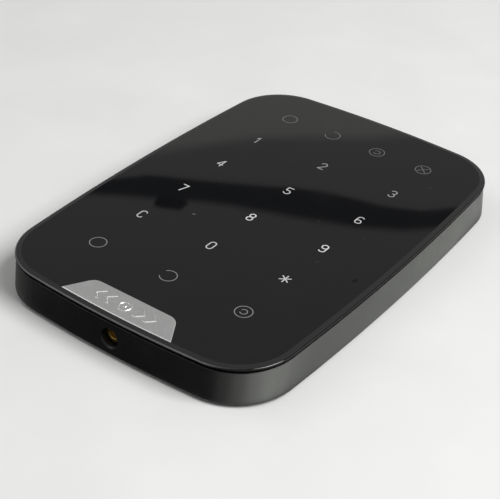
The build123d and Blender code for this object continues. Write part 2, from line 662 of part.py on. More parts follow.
def wall_screw_hole(x, y):
    hole = rod(WALL_SCREW_RADIUS, 0, BRACKET_THICKNESS, x, y)
    cone_z = BRACKET_THICKNESS - COUNTERSINK_DEPTH / 2
    top_radius = WALL_SCREW_RADIUS + COUNTERSINK_DEPTH
    return hole + Pos(x, y, cone_z) * Cone(WALL_SCREW_RADIUS, top_radius, COUNTERSINK_DEPTH)


def make_wall_bracket():
    bracket = slab(BRACKET_INSET, 0, BRACKET_THICKNESS)
    for x, y in hook_places():
        bracket += make_hook(x, y)
    lug_y = LUG_FACE_Y + LUG_THICKNESS / 2
    bracket += block(LUG_WIDTH, LUG_THICKNESS, 0, LUG_TOP_Z, 0, lug_y)
    bracket -= rod_along_y(INSERT_RADIUS, LUG_FACE_Y, LUG_FACE_Y + LUG_THICKNESS, LOCK_Z)
    for x, y in wall_screw_places():
        bracket -= wall_screw_hole(x, y)
    bracket -= make_tab_slots()
    bracket -= wall_screw_hole(TAB_CENTRE[0] + TAB_HOLE_X, TAB_CENTRE[1])
    return bracket - make_tamper_ramp()


def make_lug_insert():
    high_y = LUG_FACE_Y + LUG_THICKNESS
    sleeve = rod_along_y(INSERT_RADIUS, LUG_FACE_Y, high_y, LOCK_Z)
    return sleeve - rod_along_y(LOCK_BORE_RADIUS, LUG_FACE_Y, high_y, LOCK_Z)


def washer_face():
    """Y of the washer's face under the screw's head."""
    return LOCK_SEAT_Y - WASHER_GAP - WASHER_THICKNESS


def make_lock_washer():
    low_y = washer_face()
    high_y = low_y + WASHER_THICKNESS
    washer = rod_along_y(WASHER_RADIUS, low_y, high_y, LOCK_Z)
    return washer - rod_along_y(LOCK_SCREW_RADIUS + LOCK_SEAT_CLEARANCE, low_y, high_y, LOCK_Z)


def make_lock_screw():
    """Cylinder head with a hexagon socket, and a shank that reaches through the bracket's lug."""
    head_y = washer_face() - WASHER_GAP
    outer_y = head_y - LOCK_HEAD_HEIGHT
    tip_y = LUG_FACE_Y + LUG_THICKNESS + LOCK_SCREW_TIP
    screw = rod_along_y(LOCK_HEAD_RADIUS, outer_y, head_y, LOCK_Z)
    screw += rod_along_y(LOCK_SCREW_RADIUS, head_y, tip_y, LOCK_Z)
    hexagon = RegularPolygon(LOCK_HEX_ACROSS_FLATS / 2, 6, major_radius=False)
    socket = extrude(Plane(origin=(0, outer_y, LOCK_Z), z_dir=(0, 1, 0)) * hexagon, LOCK_HEX_DEPTH)
    return screw - socket


def make_switch(x, y):
    """Square switch body under the board, with a bore for its pin."""
    body = block(SWITCH_SIZE, SWITCH_SIZE, SWITCH_Z, BOARD_REAR_Z, x, y)
    return body - rod(SWITCH_BORE_RADIUS, SWITCH_Z, SWITCH_Z + SWITCH_BORE_DEPTH, x, y)


def tamper_flange_z():
    return FLOOR_TOP_Z + TAMPER_FLANGE_LIFT


def make_tamper_plunger():
    """Round-nosed stem in the floor's guide, a flange for the spring, and a pin into the switch."""
    tip_z = BRACKET_THICKNESS + TAMPER_TIP_GAP
    flange_z = tamper_flange_z()
    flange_top = flange_z + TAMPER_FLANGE_THICKNESS
    nose_z = tip_z + TAMPER_STEM_RADIUS
    plunger = rod(TAMPER_STEM_RADIUS, nose_z, flange_z, TAMPER_X, TAMPER_Y)
    plunger += Pos(TAMPER_X, TAMPER_Y, nose_z) * Sphere(TAMPER_STEM_RADIUS)
    plunger += rod(TAMPER_FLANGE_RADIUS, flange_z, flange_top, TAMPER_X, TAMPER_Y)
    return plunger + rod(TAMPER_PIN_RADIUS, flange_top, SWITCH_Z + TAMPER_PIN_REACH, TAMPER_X, TAMPER_Y)


def make_tamper_spring():
    """Coil spring between the plunger's flange and the switch."""
    low_z = tamper_flange_z() + TAMPER_FLANGE_THICKNESS
    height = SWITCH_Z - low_z - 2 * SPRING_WIRE_RADIUS
    coil = Helix(pitch=height / SPRING_TURNS, height=height, radius=SPRING_RADIUS)
    section = Plane(origin=coil @ 0, z_dir=coil % 0) * Circle(SPRING_WIRE_RADIUS)
    spring = sweep(section, path=coil, is_frenet=True)
    return Pos(TAMPER_X, TAMPER_Y, low_z + SPRING_WIRE_RADIUS) * spring


def make_power_button():
    cap_z = REAR_Z + POWER_CAP_RECESS
    flange_z = FLOOR_TOP_Z + POWER_FLANGE_GAP
    flange_top = flange_z + POWER_FLANGE_THICKNESS
    button = rod(POWER_CAP_RADIUS, cap_z, flange_z, POWER_X, POWER_Y)
    button += rod(POWER_FLANGE_RADIUS, flange_z, flange_top, POWER_X, POWER_Y)
    stem_top = SWITCH_Z - SWITCH_PIN_STANDOFF
    return button + rod(POWER_STEM_RADIUS, flange_top, stem_top, POWER_X, POWER_Y)


def make_power_switch_plunger():
    low_z = SWITCH_Z - SWITCH_PIN_STANDOFF
    return rod(SWITCH_PIN_RADIUS, low_z, SWITCH_Z + SWITCH_PIN_DEPTH, POWER_X, POWER_Y)


def make_radio_shield():
    size_x, size_y, height = SHIELD_SIZE
    low_z = BOARD_REAR_Z - height
    can = block(size_x, size_y, low_z, BOARD_REAR_Z, *SHIELD_PLACE)
    inner = (size_x - 2 * SHIELD_WALL, size_y - 2 * SHIELD_WALL, low_z + SHIELD_WALL, BOARD_REAR_Z)
    return can - block(*inner, *SHIELD_PLACE)


def make_sounder():
    low_z = BOARD_REAR_Z - SOUNDER_HEIGHT
    body = rod(SOUNDER_RADIUS, low_z, BOARD_REAR_Z, *SOUNDER_PLACE)
    return body - rod(SOUNDER_PORT_RADIUS, low_z, low_z + SOUNDER_PORT_DEPTH, *SOUNDER_PLACE)


def make_antenna():
    """A stamped strip on edge, held off the board by two legs."""
    y = LENGTH / 2 - ANTENNA_FROM_END
    top_z = BOARD_REAR_Z - ANTENNA_DEPTH + ANTENNA_STRIP
    low_z = BOARD_REAR_Z - ANTENNA_DEPTH
    antenna = block(ANTENNA_LENGTH, ANTENNA_THICKNESS, low_z, top_z, 0, y)
    for leg in (0, 1):
        leg_x = (ANTENNA_STRIP - ANTENNA_LENGTH) / 2 + leg * ANTENNA_LEG_PITCH
        antenna += block(ANTENNA_STRIP, ANTENNA_THICKNESS, top_z, BOARD_REAR_Z, leg_x, y)
    return antenna


def make_chip(size, place):
    size_x, size_y, height = size
    return block(size_x, size_y, BOARD_REAR_Z - height, BOARD_REAR_Z, *place)


def make_capacitors():
    x, y = CAPACITOR_PLACE
    return [make_chip(CAPACITOR_SIZE, (x, y + row * CAPACITOR_PITCH)) for row in range(CAPACITOR_COUNT)]


os.makedirs("parts", exist_ok=True)
save("wall_bracket", make_wall_bracket())
save("lug_insert", make_lug_insert())
save("housing_shell", make_housing_shell())
save("front_frame", make_front_frame())
save("case_screws", Compound(make_case_screws()))
save("touch_panel", make_touch_panel())
save("badge", make_badge())
save("panel_adhesive", make_panel_adhesive())
save("light_guide", make_light_guide())
save("key_leds", Compound(make_leds(key_places())))
save("indicator_leds", Compound(make_leds(indicator_places())))
save("main_board", make_main_board())
save("radio_shield", make_radio_shield())
save("antenna", make_antenna())
save("sounder", make_sounder())
save("main_controller", make_chip(CONTROLLER_SIZE, CONTROLLER_PLACE))
save("touch_controller", make_chip(TOUCH_CHIP_SIZE, TOUCH_CHIP_PLACE))
save("capacitors", Compound(make_capacitors()))
save("id_label", make_id_label())
for number, (cell_x, nub_direction) in enumerate(cell_places(), start=1):
    save(f"battery_{number}", make_cell(cell_x, nub_direction))
save("lower_contacts", Compound(make_lower_contacts()))
save("upper_contacts", Compound(make_upper_contacts()))
save("tamper_switch", make_switch(TAMPER_X, TAMPER_Y))
save("tamper_plunger", make_tamper_plunger())
save("tamper_spring", make_tamper_spring())
save("power_switch", make_switch(POWER_X, POWER_Y))
save("power_switch_plunger", make_power_switch_plunger())
save("power_button", make_power_button())
save("lock_washer", make_lock_washer())
save("lock_screw", make_lock_screw())
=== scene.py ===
from math import cos, hypot, pi, radians, sin

import bmesh
import bpy
from mathutils import Matrix, Vector
from mathutils.geometry import delaunay_2d_cdt


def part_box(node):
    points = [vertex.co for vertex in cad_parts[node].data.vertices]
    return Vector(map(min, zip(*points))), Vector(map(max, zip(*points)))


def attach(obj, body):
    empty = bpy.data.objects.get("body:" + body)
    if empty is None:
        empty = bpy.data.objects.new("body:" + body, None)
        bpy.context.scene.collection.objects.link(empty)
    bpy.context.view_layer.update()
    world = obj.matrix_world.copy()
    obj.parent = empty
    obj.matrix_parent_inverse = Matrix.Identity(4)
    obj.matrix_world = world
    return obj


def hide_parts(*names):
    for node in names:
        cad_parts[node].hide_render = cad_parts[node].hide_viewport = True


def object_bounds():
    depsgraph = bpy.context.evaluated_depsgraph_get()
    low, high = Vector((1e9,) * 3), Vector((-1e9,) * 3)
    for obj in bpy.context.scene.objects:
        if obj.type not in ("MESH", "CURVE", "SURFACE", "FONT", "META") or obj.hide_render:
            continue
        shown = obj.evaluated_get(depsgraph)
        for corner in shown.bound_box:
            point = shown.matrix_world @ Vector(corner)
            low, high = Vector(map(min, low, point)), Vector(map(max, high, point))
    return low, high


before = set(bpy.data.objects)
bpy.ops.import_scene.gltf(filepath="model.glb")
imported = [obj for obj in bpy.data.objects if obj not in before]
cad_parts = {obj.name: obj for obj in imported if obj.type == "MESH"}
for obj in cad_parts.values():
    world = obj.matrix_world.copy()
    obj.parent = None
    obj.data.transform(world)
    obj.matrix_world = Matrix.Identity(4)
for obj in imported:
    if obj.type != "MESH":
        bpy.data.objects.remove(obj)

# The looks of a wireless alarm keypad: finishes for the CAD nodes, the printed legends, the locking
# screw's thread and knurl, and a pale studio. Everything is in metres, in the CAD model's own frame.

MM = 0.001
CAD_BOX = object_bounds()

# Edges and heights read from the frame
HOUSING_LOW, HOUSING_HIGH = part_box("housing_shell")
GLASS_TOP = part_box("touch_panel")[1].z
FLOOR_LEVEL = CAD_BOX[0][2]

# Camera
CAMERA_PLACE = Vector((188.0, -280.45, 227.85)) * MM
CAMERA_AZIMUTH = 34.46      # degrees round from -Y towards +X
CAMERA_ELEVATION = 34.32
CAMERA_ROLL = 3.0
CAMERA_LENS = 89.9          # millimetres
SENSOR_WIDTH = 36.0
NEAREST_SEEN = 0.01


# ---------------------------------------------------------------- shader nodes

# Sockets of a Mix node that mixes colours
MIX_FACTOR = 0
MIX_FIRST = 6
MIX_SECOND = 7
MIX_RESULT = 2

class Surface:
    """One procedural material and short calls for the nodes that it is made of. Sizes are in metres."""

    def __init__(self, name, colour, roughness, **uniform):
        self.material = bpy.data.materials.new(name)
        self.material.use_nodes = True
        self.tree = self.material.node_tree
        self.shader = self.tree.nodes["Principled BSDF"]
        self.shader.inputs["Base Color"].default_value = (*colour, 1)
        self.shader.inputs["Roughness"].default_value = roughness
        for socket, value in uniform.items():
            self.shader.inputs[socket.replace("_", " ")].default_value = value
        coordinates = self.tree.nodes.new("ShaderNodeTexCoord")
        self.place = coordinates.outputs["Object"]
        self.normal = coordinates.outputs["Normal"]

    def node(self, kind, values=(), **settings):
        """Adds a node. values are sockets or numbers for its inputs, by name or index."""
        node = self.tree.nodes.new(kind)
        for key, value in settings.items():
            setattr(node, key, value)
        for key, value in dict(values).items():
            if isinstance(value, bpy.types.NodeSocket):
                self.tree.links.new(value, node.inputs[key])
            else:
                node.inputs[key].default_value = value
        return node

    def drive(self, socket, value):
        self.tree.links.new(value, self.shader.inputs[socket])

    def stretched(self, x, y, z, turn=0.0):
        """The object's coordinates, turned about Z and scaled along each axis."""
        values = {"Vector": self.place, "Rotation": (0, 0, turn), "Scale": (x, y, z)}
        return self.node("ShaderNodeMapping", values).outputs["Vector"]

    def noise(self, size, detail=3.0, rough=0.5, place=None):
        """Fractal noise whose largest features are about size across."""
        values = {"Vector": place or self.place, "Scale": 1 / size}
        values.update({"Detail": detail, "Roughness": rough})
        return self.node("ShaderNodeTexNoise", values).outputs["Fac"]

    def cells(self, size, output="Distance", randomness=1.0, place=None):
        values = {"Vector": place or self.place, "Scale": 1 / size, "Randomness": randomness}
        return self.node("ShaderNodeTexVoronoi", values).outputs[output]

    def axis(self, vector, letter):
        return self.node("ShaderNodeSeparateXYZ", {0: vector}).outputs[letter]

    def math(self, operation, first, second=0.0):
        return self.node("ShaderNodeMath", {0: first, 1: second}, operation=operation).outputs[0]

    def span(self, value, low, high, out_low=0.0, out_high=1.0, smooth=False):
        """value from low..high to out_low..out_high, clamped."""
        values = {"Value": value, "From Min": low, "From Max": high}
        values.update({"To Min": out_low, "To Max": out_high})
        kind = "SMOOTHSTEP" if smooth else "LINEAR"
        return self.node("ShaderNodeMapRange", values, interpolation_type=kind).outputs["Result"]

    def mix(self, factor, first, second):
        """A colour between two colours; either may be a tuple or a socket."""
        colours = [c if isinstance(c, bpy.types.NodeSocket) else (*c, 1) for c in (first, second)]
        values = {MIX_FACTOR: factor, MIX_FIRST: colours[0], MIX_SECOND: colours[1]}
        return self.node("ShaderNodeMix", values, data_type="RGBA").outputs[MIX_RESULT]

    def times(self, first, second):
        return self.math("MULTIPLY", first, second)

    def grained(self, grain, low, high, dark, light):
        """A colour that runs from dark to light as the grain goes from low to high."""
        return self.mix(self.span(grain, low, high), dark, light)

    def sum(self, *values):
        total = values[0]
        for value in values[1:]:
            total = self.math("ADD", total, value)
        return total

    def bump(self, height, depth, strength=1.0):
        """Drives the surface's normal by a height of 0..1, depth metres deep."""
        values = {"Height": height, "Distance": depth, "Strength": strength}
        self.drive("Normal", self.node("ShaderNodeBump", values).outputs["Normal"])


NOISE_BAND = (0.3, 0.7)     # where most of a noise's values lie
NARROW_BAND = (0.35, 0.65)
SCUFF_BAND = (0.52, 0.68)
SCUFF_BREAK_UP = 8          # how much finer the pattern is that breaks a scuff up
RUBBED_PATCH = 5 * MM
RUBBED_SHOWN = 0.35
FLOW_MARK = 14 * MM
WORN_GAIN = 1.9             # worn plastic is lighter by this factor
WORN_OFFSET = 0.015         # and this much more
FLOW_SHADE = 0.82
TARNISH_SHADE = 0.55
TARNISH_PATCH = 2.5 * MM


def scuffs(surface, size, amount):
    """A broken mask of small rubbed patches, 0..amount."""
    patches = surface.span(surface.noise(size, 6, 0.65), *SCUFF_BAND)
    fine = surface.span(surface.noise(size / SCUFF_BREAK_UP, 3), 0.4, 0.6)
    return surface.times(surface.times(patches, fine), amount)


def moulded(name, colour, roughness, grain=0.22 * MM, depth=5e-6, worn=None):
    """Injection-moulded plastic: spark-eroded grain, faint flow marks and rubbed spots."""
    surface = Surface(name, colour, roughness)
    spark = surface.noise(grain, 4, 0.62)
    flow = surface.noise(FLOW_MARK, 2)
    rubbed = scuffs(surface, RUBBED_PATCH, 0.5)
    light = tuple(min(1.0, c * WORN_GAIN + WORN_OFFSET) for c in colour)
    dark = tuple(c * FLOW_SHADE for c in colour)
    body = surface.mix(surface.span(flow, *NARROW_BAND), dark, colour)
    body = surface.mix(surface.times(rubbed, RUBBED_SHOWN), body, light)
    if worn is not None:
        body = surface.mix(worn(surface), body, light)
    surface.drive("Base Color", body)
    swing = surface.span(flow, *NOISE_BAND, roughness - 0.04, roughness + 0.05)
    fine_swing = surface.span(spark, *NOISE_BAND, -0.03, 0.03)
    surface.drive("Roughness", surface.sum(swing, fine_swing, surface.times(rubbed, -0.1)))
    surface.bump(spark, depth)
    return surface.material


METAL_LINE = 0.06 * MM
METAL_LINE_DEPTH = 1.5e-6


def metal(name, colour, roughness, stretch=(1, 1, 1), tarnish=0.25):
    """Bare metal with fine drawn or turned lines and a patchy tarnish."""
    surface = Surface(name, colour, roughness, Metallic=1.0)
    lines = surface.noise(METAL_LINE, 3, 0.6, surface.stretched(*stretch))
    patch = surface.span(surface.noise(TARNISH_PATCH, 5, 0.6), 0.4, 0.7)
    dull = tuple(c * TARNISH_SHADE for c in colour)
    body = surface.mix(surface.times(patch, tarnish), colour, dull)
    surface.drive("Base Color", body)
    swing = surface.span(lines, *NOISE_BAND, roughness * 0.75, roughness * 1.3)
    surface.drive("Roughness", surface.sum(swing, surface.times(patch, 0.12)))
    surface.bump(lines, METAL_LINE_DEPTH)
    return surface.material


# ---------------------------------------------------------------- finishes

# Glass
GLASS_SLOPE = (0.9, 0.95)          # the normal's Z between the rounded edge and the bevel
FACE_SLOPE = (0.988, 0.994)        # and between the bevel and the flat face
GROUND_SLOPE = (0.15, 0.4)         # and between the ground side and the rounded edge
# Where the painted highlight on the rounded edge fades out, leaving the right-hand side dark
RIGHT_SIDE = (0.1, 0.3)            # the normal's X where the rounded edge turns dark
GLASS_BLACK = (0.004, 0.004, 0.0045)
FINGER_FILM = (0.12, 0.12, 0.12)
DUST_GREY = (0.32, 0.32, 0.31)
# The next two are painted light on the rim: a painted sheen on the bevel, then a painted highlight on the
# rounded edge
BEVEL_PAINTED_SHEEN = ((0.015, 0.015, 0.0155), (0.022, 0.022, 0.0225))
EDGE_PAINTED_HIGHLIGHT = ((0.07, 0.07, 0.071), (0.12, 0.12, 0.121))
GROUND_TONES = ((0.003, 0.003, 0.003), (0.009, 0.009, 0.009))
DUST_SPACING = 2.6 * MM
MARK_STRENGTH = 0.8
SMUDGE_MATT = 0.35                 # how much of the gloss a black mark takes away
GROUND_ROUGHNESS = 0.75

# Marks on the glass, in millimetres: middle, half length and half width, turn in degrees, lightness
GLASS_MARKS = (
    ((-15.0, -17.0), (0.9, 0.35), 20, 0.16),
    ((35.0, 46.0), (1.6, 0.12), 60, 0.06),
    ((18.0, 5.0), (1.2, 0.1), -30, 0.05),
    ((34.0, 6.0), (0.8, 0.12), 75, 0.05),
    ((-22.0, 6.0), (0.6, 0.12), 40, 0.05),
    ((-16.0, 61.5), (8.0, 1.6), -58, 0.006),
    ((30.0, -14.0), (1.4, 0.1), 70, 0.06),
    ((44.0, -15.0), (1.7, 0.8), 75, 0.0),
)


def glass_mark(surface, middle, reach, turn):
    """1 in the middle of a mark, fading to 0 at its edge."""
    x, y = middle
    values = {0: surface.place, 1: Vector((x, y, GLASS_TOP / MM)) * MM}
    offset = surface.node("ShaderNodeVectorMath", values, operation="SUBTRACT").outputs["Vector"]
    values = {"Vector": offset, "Rotation": (0, 0, radians(-turn))}
    turned = surface.node("ShaderNodeMapping", values).outputs["Vector"]
    values = {0: turned, 1: (1 / (reach[0] * MM), 1 / (reach[1] * MM), 0)}
    scaled = surface.node("ShaderNodeVectorMath", values, operation="MULTIPLY").outputs["Vector"]
    away = surface.node("ShaderNodeVectorMath", {0: scaled}, operation="LENGTH").outputs["Value"]
    return surface.span(away, 0.35, 1.0, 1.0, 0.0, smooth=True)


def glass_finish():
    """Black-backed glass: finger film, dust, marks, a painted sheen on the bevel, a painted highlight on
    the rounded edge except on its right-hand side, and a matt ground side.
    """
    surface = Surface("black_glass", (0.006, 0.006, 0.0065), 0.04, IOR=1.5)
    film = surface.noise(26 * MM, 5, 0.6)
    wipes = surface.noise(9 * MM, 3, 0.5, surface.stretched(1, 0.35, 1, radians(35)))
    smear = surface.times(surface.span(film, 0.45, 0.7), surface.span(wipes, 0.35, 0.7))
    dust_near = surface.span(surface.cells(DUST_SPACING), 0.0, 0.03, 1.0, 0.0)
    dust_pick = surface.axis(surface.cells(DUST_SPACING, "Color"), "X")
    dust = surface.times(dust_near, surface.span(dust_pick, 0.8, 0.95))
    ground = surface.span(surface.axis(surface.normal, "Z"), *GROUND_SLOPE, 1.0, 0.0)
    dead = ground
    grit = surface.noise(0.08 * MM, 4, 0.6)
    body = surface.mix(surface.times(smear, 0.012), GLASS_BLACK, FINGER_FILM)
    body = surface.mix(surface.times(dust, 0.3), body, DUST_GREY)
    gloss = surface.sum(surface.span(smear, 0.0, 1.0, 0.03, 0.045), surface.times(dust, 0.3))
    for middle, reach, turn, lightness in GLASS_MARKS:
        mark = glass_mark(surface, middle, reach, turn)
        tone = (lightness, lightness, lightness * 0.97)
        body = surface.mix(surface.times(mark, MARK_STRENGTH), body, tone)
        if lightness == 0.0:
            dead = surface.math("MAXIMUM", dead, surface.times(mark, SMUDGE_MATT))
    # Painted light on the rim: the bevel gets a painted sheen, and the rounded edge a painted highlight
    # that is left off the right-hand side
    slope = surface.axis(surface.normal, "Z")
    above_edge = surface.span(slope, *GLASS_SLOPE)
    bevel = surface.times(above_edge, surface.span(slope, *FACE_SLOPE, 1.0, 0.0))
    not_right = surface.span(surface.axis(surface.normal, "X"), *RIGHT_SIDE, 1.0, 0.0)
    edge_highlight_mask = surface.times(surface.span(slope, *GLASS_SLOPE, 1.0, 0.0), not_right)
    for mask, tones in ((bevel, BEVEL_PAINTED_SHEEN), (edge_highlight_mask, EDGE_PAINTED_HIGHLIGHT), (ground, GROUND_TONES)):
        body = surface.mix(mask, body, surface.mix(grit, *tones))
    surface.drive("Base Color", body)
    surface.drive("Metallic", dead)
    surface.drive("Roughness", surface.math("MAXIMUM", gloss, surface.times(ground, GROUND_ROUGHNESS)))
    surface.bump(surface.sum(surface.noise(30 * MM, 1), surface.times(dust, 0.02)), 2.5e-5)
    return surface.material


BADGE_TONES = ((0.42, 0.425, 0.42), (0.72, 0.725, 0.72))
# The edges' lighter colour: partly the polish of turned edges, partly a painted highlight
BADGE_EDGE_POLISH_AND_HIGHLIGHT = (0.86, 0.86, 0.85)
BADGE_ROUGHNESS = (0.38, 0.5)


def badge_finish():
    """Satin plated plate: blasted grain on the face, and turned edges lightened in colour, partly their
    polish and partly a painted highlight.
    """
    surface = Surface("satin_badge", (0.5, 0.5, 0.5), 0.4, Metallic=0.75)
    grain = surface.noise(0.16 * MM, 4, 0.7)
    fine = surface.cells(0.12 * MM)
    # Sloped faces are lightened, partly polish and partly a painted highlight; rubbed spots add real wear
    edge = surface.span(surface.axis(surface.normal, "Z"), 0.75, 0.98, 1.0, 0.0)
    rubbed = scuffs(surface, 2.5 * MM, 1.0)
    bright = surface.math("MAXIMUM", edge, surface.times(rubbed, 0.3))
    body = surface.grained(grain, *NOISE_BAND, *BADGE_TONES)
    body = surface.mix(bright, body, BADGE_EDGE_POLISH_AND_HIGHLIGHT)
    surface.drive("Base Color", body)
    rough = surface.span(grain, *NOISE_BAND, *BADGE_ROUGHNESS)
    surface.drive("Roughness", surface.sum(rough, surface.times(edge, -0.1)))
    surface.bump(surface.sum(grain, surface.times(fine, 0.5)), 1.2e-5, 0.8)
    return surface.material


PRINT_DIM = (0.72, 0.73, 0.74)     # missing ink, as shares of the print's shade
PRINT_WARMTH = 0.985
PRINT_MOTTLE = 0.3 * MM


def legend_finish(name, shade):
    """Frosted print seen through the glass: specks of ink missing, with the glass's gloss over it."""
    surface = Surface(name, (shade, shade, shade), 0.6, Coat_Weight=1.0, Coat_Roughness=0.04)
    mottle = surface.span(surface.noise(PRINT_MOTTLE, 4, 0.7), 0.35, 0.62)
    dim = tuple(shade * c for c in PRINT_DIM)
    surface.drive("Base Color", surface.mix(mottle, dim, (shade, shade, shade * PRINT_WARMTH)))
    surface.drive("Roughness", surface.span(mottle, 0, 1, 0.5, 0.7))
    surface.bump(mottle, 1e-6)
    return surface.material


def edge_wear(low, high, width):
    """A wear mask for edges at two heights."""
    def mask(surface):
        height = surface.axis(surface.place, "Z")
        lower = surface.span(height, low, low + width, 1.0, 0.0)
        upper = surface.span(height, high - width, high, 0.0, 1.0)
        edges = surface.math("MAXIMUM", lower, upper)
        broken = surface.span(surface.noise(1.4 * MM, 6, 0.7), 0.42, 0.62, 0.05, 0.7)
        return surface.times(edges, broken)
    return mask


SOLDER_MASK = (0.008, 0.05, 0.028)
TRACK_GREEN = (0.02, 0.11, 0.06)
PAD_TIN = (0.62, 0.6, 0.52)
DRILLED_BLACK = (0.01, 0.01, 0.01)
TRACK_WIDTH = 0.12 * MM
TRACK_LENGTH = 4.2 * MM
TRACK_PITCH = 1.4 * MM
PAD_SPACING = 3.1 * MM


def board_finish():
    """Green solder mask over copper tracks, with tinned pads and drilled vias."""
    surface = Surface("solder_mask", (0.01, 0.05, 0.03), 0.3, Coat_Weight=0.4)
    bricks = {"Vector": surface.stretched(1, 1, 0), "Scale": 1.0, "Mortar Size": TRACK_WIDTH,
              "Brick Width": TRACK_LENGTH, "Row Height": TRACK_PITCH, "Mortar Smooth": 0.2}
    tracks = surface.node("ShaderNodeTexBrick", bricks).outputs["Fac"]
    near = surface.cells(PAD_SPACING, randomness=0.85)
    pads = surface.span(near, 0.10, 0.12, 1.0, 0.0)
    holes = surface.span(near, 0.04, 0.05, 1.0, 0.0)
    body = surface.mix(tracks, SOLDER_MASK, TRACK_GREEN)
    body = surface.mix(pads, body, PAD_TIN)
    surface.drive("Base Color", surface.mix(holes, body, DRILLED_BLACK))
    surface.drive("Roughness", surface.sum(surface.span(pads, 0, 1, 0.3, 0.4), surface.noise(2 * MM)))
    surface.bump(surface.sum(tracks, pads), 3e-5)
    return surface.material


FILM_TONES = ((0.78, 0.8, 0.78), (0.92, 0.93, 0.9))
FILM_DOT_PITCH = 0.7 * MM


def film_finish():
    """Frosted light guide with a grid of dots that let the light out."""
    surface = Surface("frosted_film", (0.82, 0.83, 0.81), 0.45, Transmission_Weight=0.25)
    dots = surface.span(surface.cells(FILM_DOT_PITCH, randomness=0.0), 0.24, 0.3, 1.0, 0.0)
    surface.drive("Base Color", surface.mix(dots, *FILM_TONES))
    rough = surface.span(dots, 0, 1, 0.35, 0.55)
    surface.drive("Roughness", surface.sum(rough, surface.times(surface.noise(3 * MM), 0.1)))
    surface.bump(dots, 1e-5)
    return surface.material


LED_TONES = ((0.75, 0.6, 0.2), (0.92, 0.84, 0.5))


def led_finish():
    """Specks of phosphor under clear resin."""
    surface = Surface("led_resin", (0.85, 0.75, 0.35), 0.25, Coat_Weight=1.0)
    speck = surface.noise(0.05 * MM, 4, 0.7)
    body = surface.grained(speck, *NARROW_BAND, *LED_TONES)
    surface.drive("Base Color", body)
    surface.drive("Roughness", surface.span(speck, *NOISE_BAND, 0.18, 0.35))
    surface.bump(speck, 3e-6)
    return surface.material


CELL_SLEEVE = (0.045, 0.085, 0.125)
CELL_BAND = (0.42, 0.2, 0.08)
CELL_SCRATCH = (0.3, 0.3, 0.3)
CELL_NICKEL = (0.66, 0.64, 0.6)
BAND_START = 0.35                  # as a share of half the cell's length
BAND_SOFTNESS = 0.01
BAND_METALLIC = 0.6
CELL_END_LENGTH = 1.6 * MM
SOFT_EDGE = 0.1 * MM


def cell_finish(middle_y, half_length):
    """A plain two-tone printed sleeve, with nickel showing at both ends."""
    surface = Surface("cell_sleeve", (0.05, 0.09, 0.13), 0.3, Coat_Weight=0.5)
    along = surface.axis(surface.place, "Y")
    band_start = middle_y + half_length * BAND_START
    band = surface.span(along, band_start, band_start + half_length * BAND_SOFTNESS)
    scratch = surface.noise(0.5 * MM, 3, 0.6, surface.stretched(1, 0.1, 1))
    from_middle = surface.math("ABSOLUTE", surface.math("SUBTRACT", along, middle_y))
    end = surface.span(from_middle, half_length - CELL_END_LENGTH,
                       half_length - CELL_END_LENGTH + SOFT_EDGE)
    sleeve = surface.mix(band, CELL_SLEEVE, CELL_BAND)
    sleeve = surface.mix(surface.span(scratch, 0.6, 0.75, 0.0, 0.3), sleeve, CELL_SCRATCH)
    surface.drive("Base Color", surface.mix(end, sleeve, CELL_NICKEL))
    surface.drive("Metallic", surface.math("MAXIMUM", end, surface.times(band, BAND_METALLIC)))
    rough = surface.span(scratch, *NOISE_BAND, 0.2, 0.34)
    surface.drive("Roughness", surface.sum(rough, surface.times(end, 0.05)))
    surface.bump(scratch, 2e-6)
    return surface.material


CAPACITOR_TONES = ((0.62, 0.36, 0.03), (0.76, 0.48, 0.07))
STRIPE_BROWN = (0.2, 0.07, 0.02)
STRIPE_WIDTH = 1.6 * MM


def capacitor_finish():
    """Yellow moulded case with a brown polarity stripe."""
    case_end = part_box("capacitors")[1].x
    surface = Surface("capacitor_case", (0.7, 0.42, 0.05), 0.38)
    stripe = surface.span(surface.axis(surface.place, "X"), case_end - STRIPE_WIDTH,
                          case_end - STRIPE_WIDTH + SOFT_EDGE)
    grain = surface.noise(0.12 * MM, 4, 0.6)
    body = surface.grained(grain, *NARROW_BAND, *CAPACITOR_TONES)
    surface.drive("Base Color", surface.mix(stripe, body, STRIPE_BROWN))
    surface.drive("Roughness", surface.span(grain, *NOISE_BAND, 0.3, 0.46))
    surface.bump(grain, 4e-6)
    return surface.material


PAPER_TONES = ((0.74, 0.74, 0.71), (0.86, 0.86, 0.84))
FRAME_INK = (0.15, 0.15, 0.15)
FRAME_INSET = 1 * MM
FRAME_LINE = (0.08 * MM, 0.12 * MM)    # half width of the solid line, and of its soft edge


def label_finish():
    """Blank paper label: fibres and a thin printed frame line."""
    low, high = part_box("id_label")
    surface = Surface("paper_label", (0.82, 0.82, 0.8), 0.6)
    fibre = surface.noise(0.25 * MM, 5, 0.7, surface.stretched(1, 0.35, 1, radians(20)))
    middle = (low + high) / 2
    across = surface.math("SUBTRACT", surface.axis(surface.place, "X"), middle.x)
    along = surface.math("SUBTRACT", surface.axis(surface.place, "Y"), middle.y)
    reach = surface.math("MAXIMUM", surface.math("ABSOLUTE", across), surface.math("ABSOLUTE", along))
    line = surface.math("ABSOLUTE", surface.math("SUBTRACT", reach, high.x - middle.x - FRAME_INSET))
    frame_line = surface.span(line, *FRAME_LINE, 1.0, 0.0)
    paper = surface.grained(fibre, *NOISE_BAND, *PAPER_TONES)
    surface.drive("Base Color", surface.mix(frame_line, paper, FRAME_INK))
    surface.drive("Roughness", surface.span(fibre, *NOISE_BAND, 0.5, 0.7))
    surface.bump(fibre, 6e-6)
    return surface.material


FOAM_TONES = ((0.004, 0.004, 0.004), (0.02, 0.02, 0.02))
FOAM_PORE = 0.14 * MM
PORE_BAND = (0.1, 0.5)


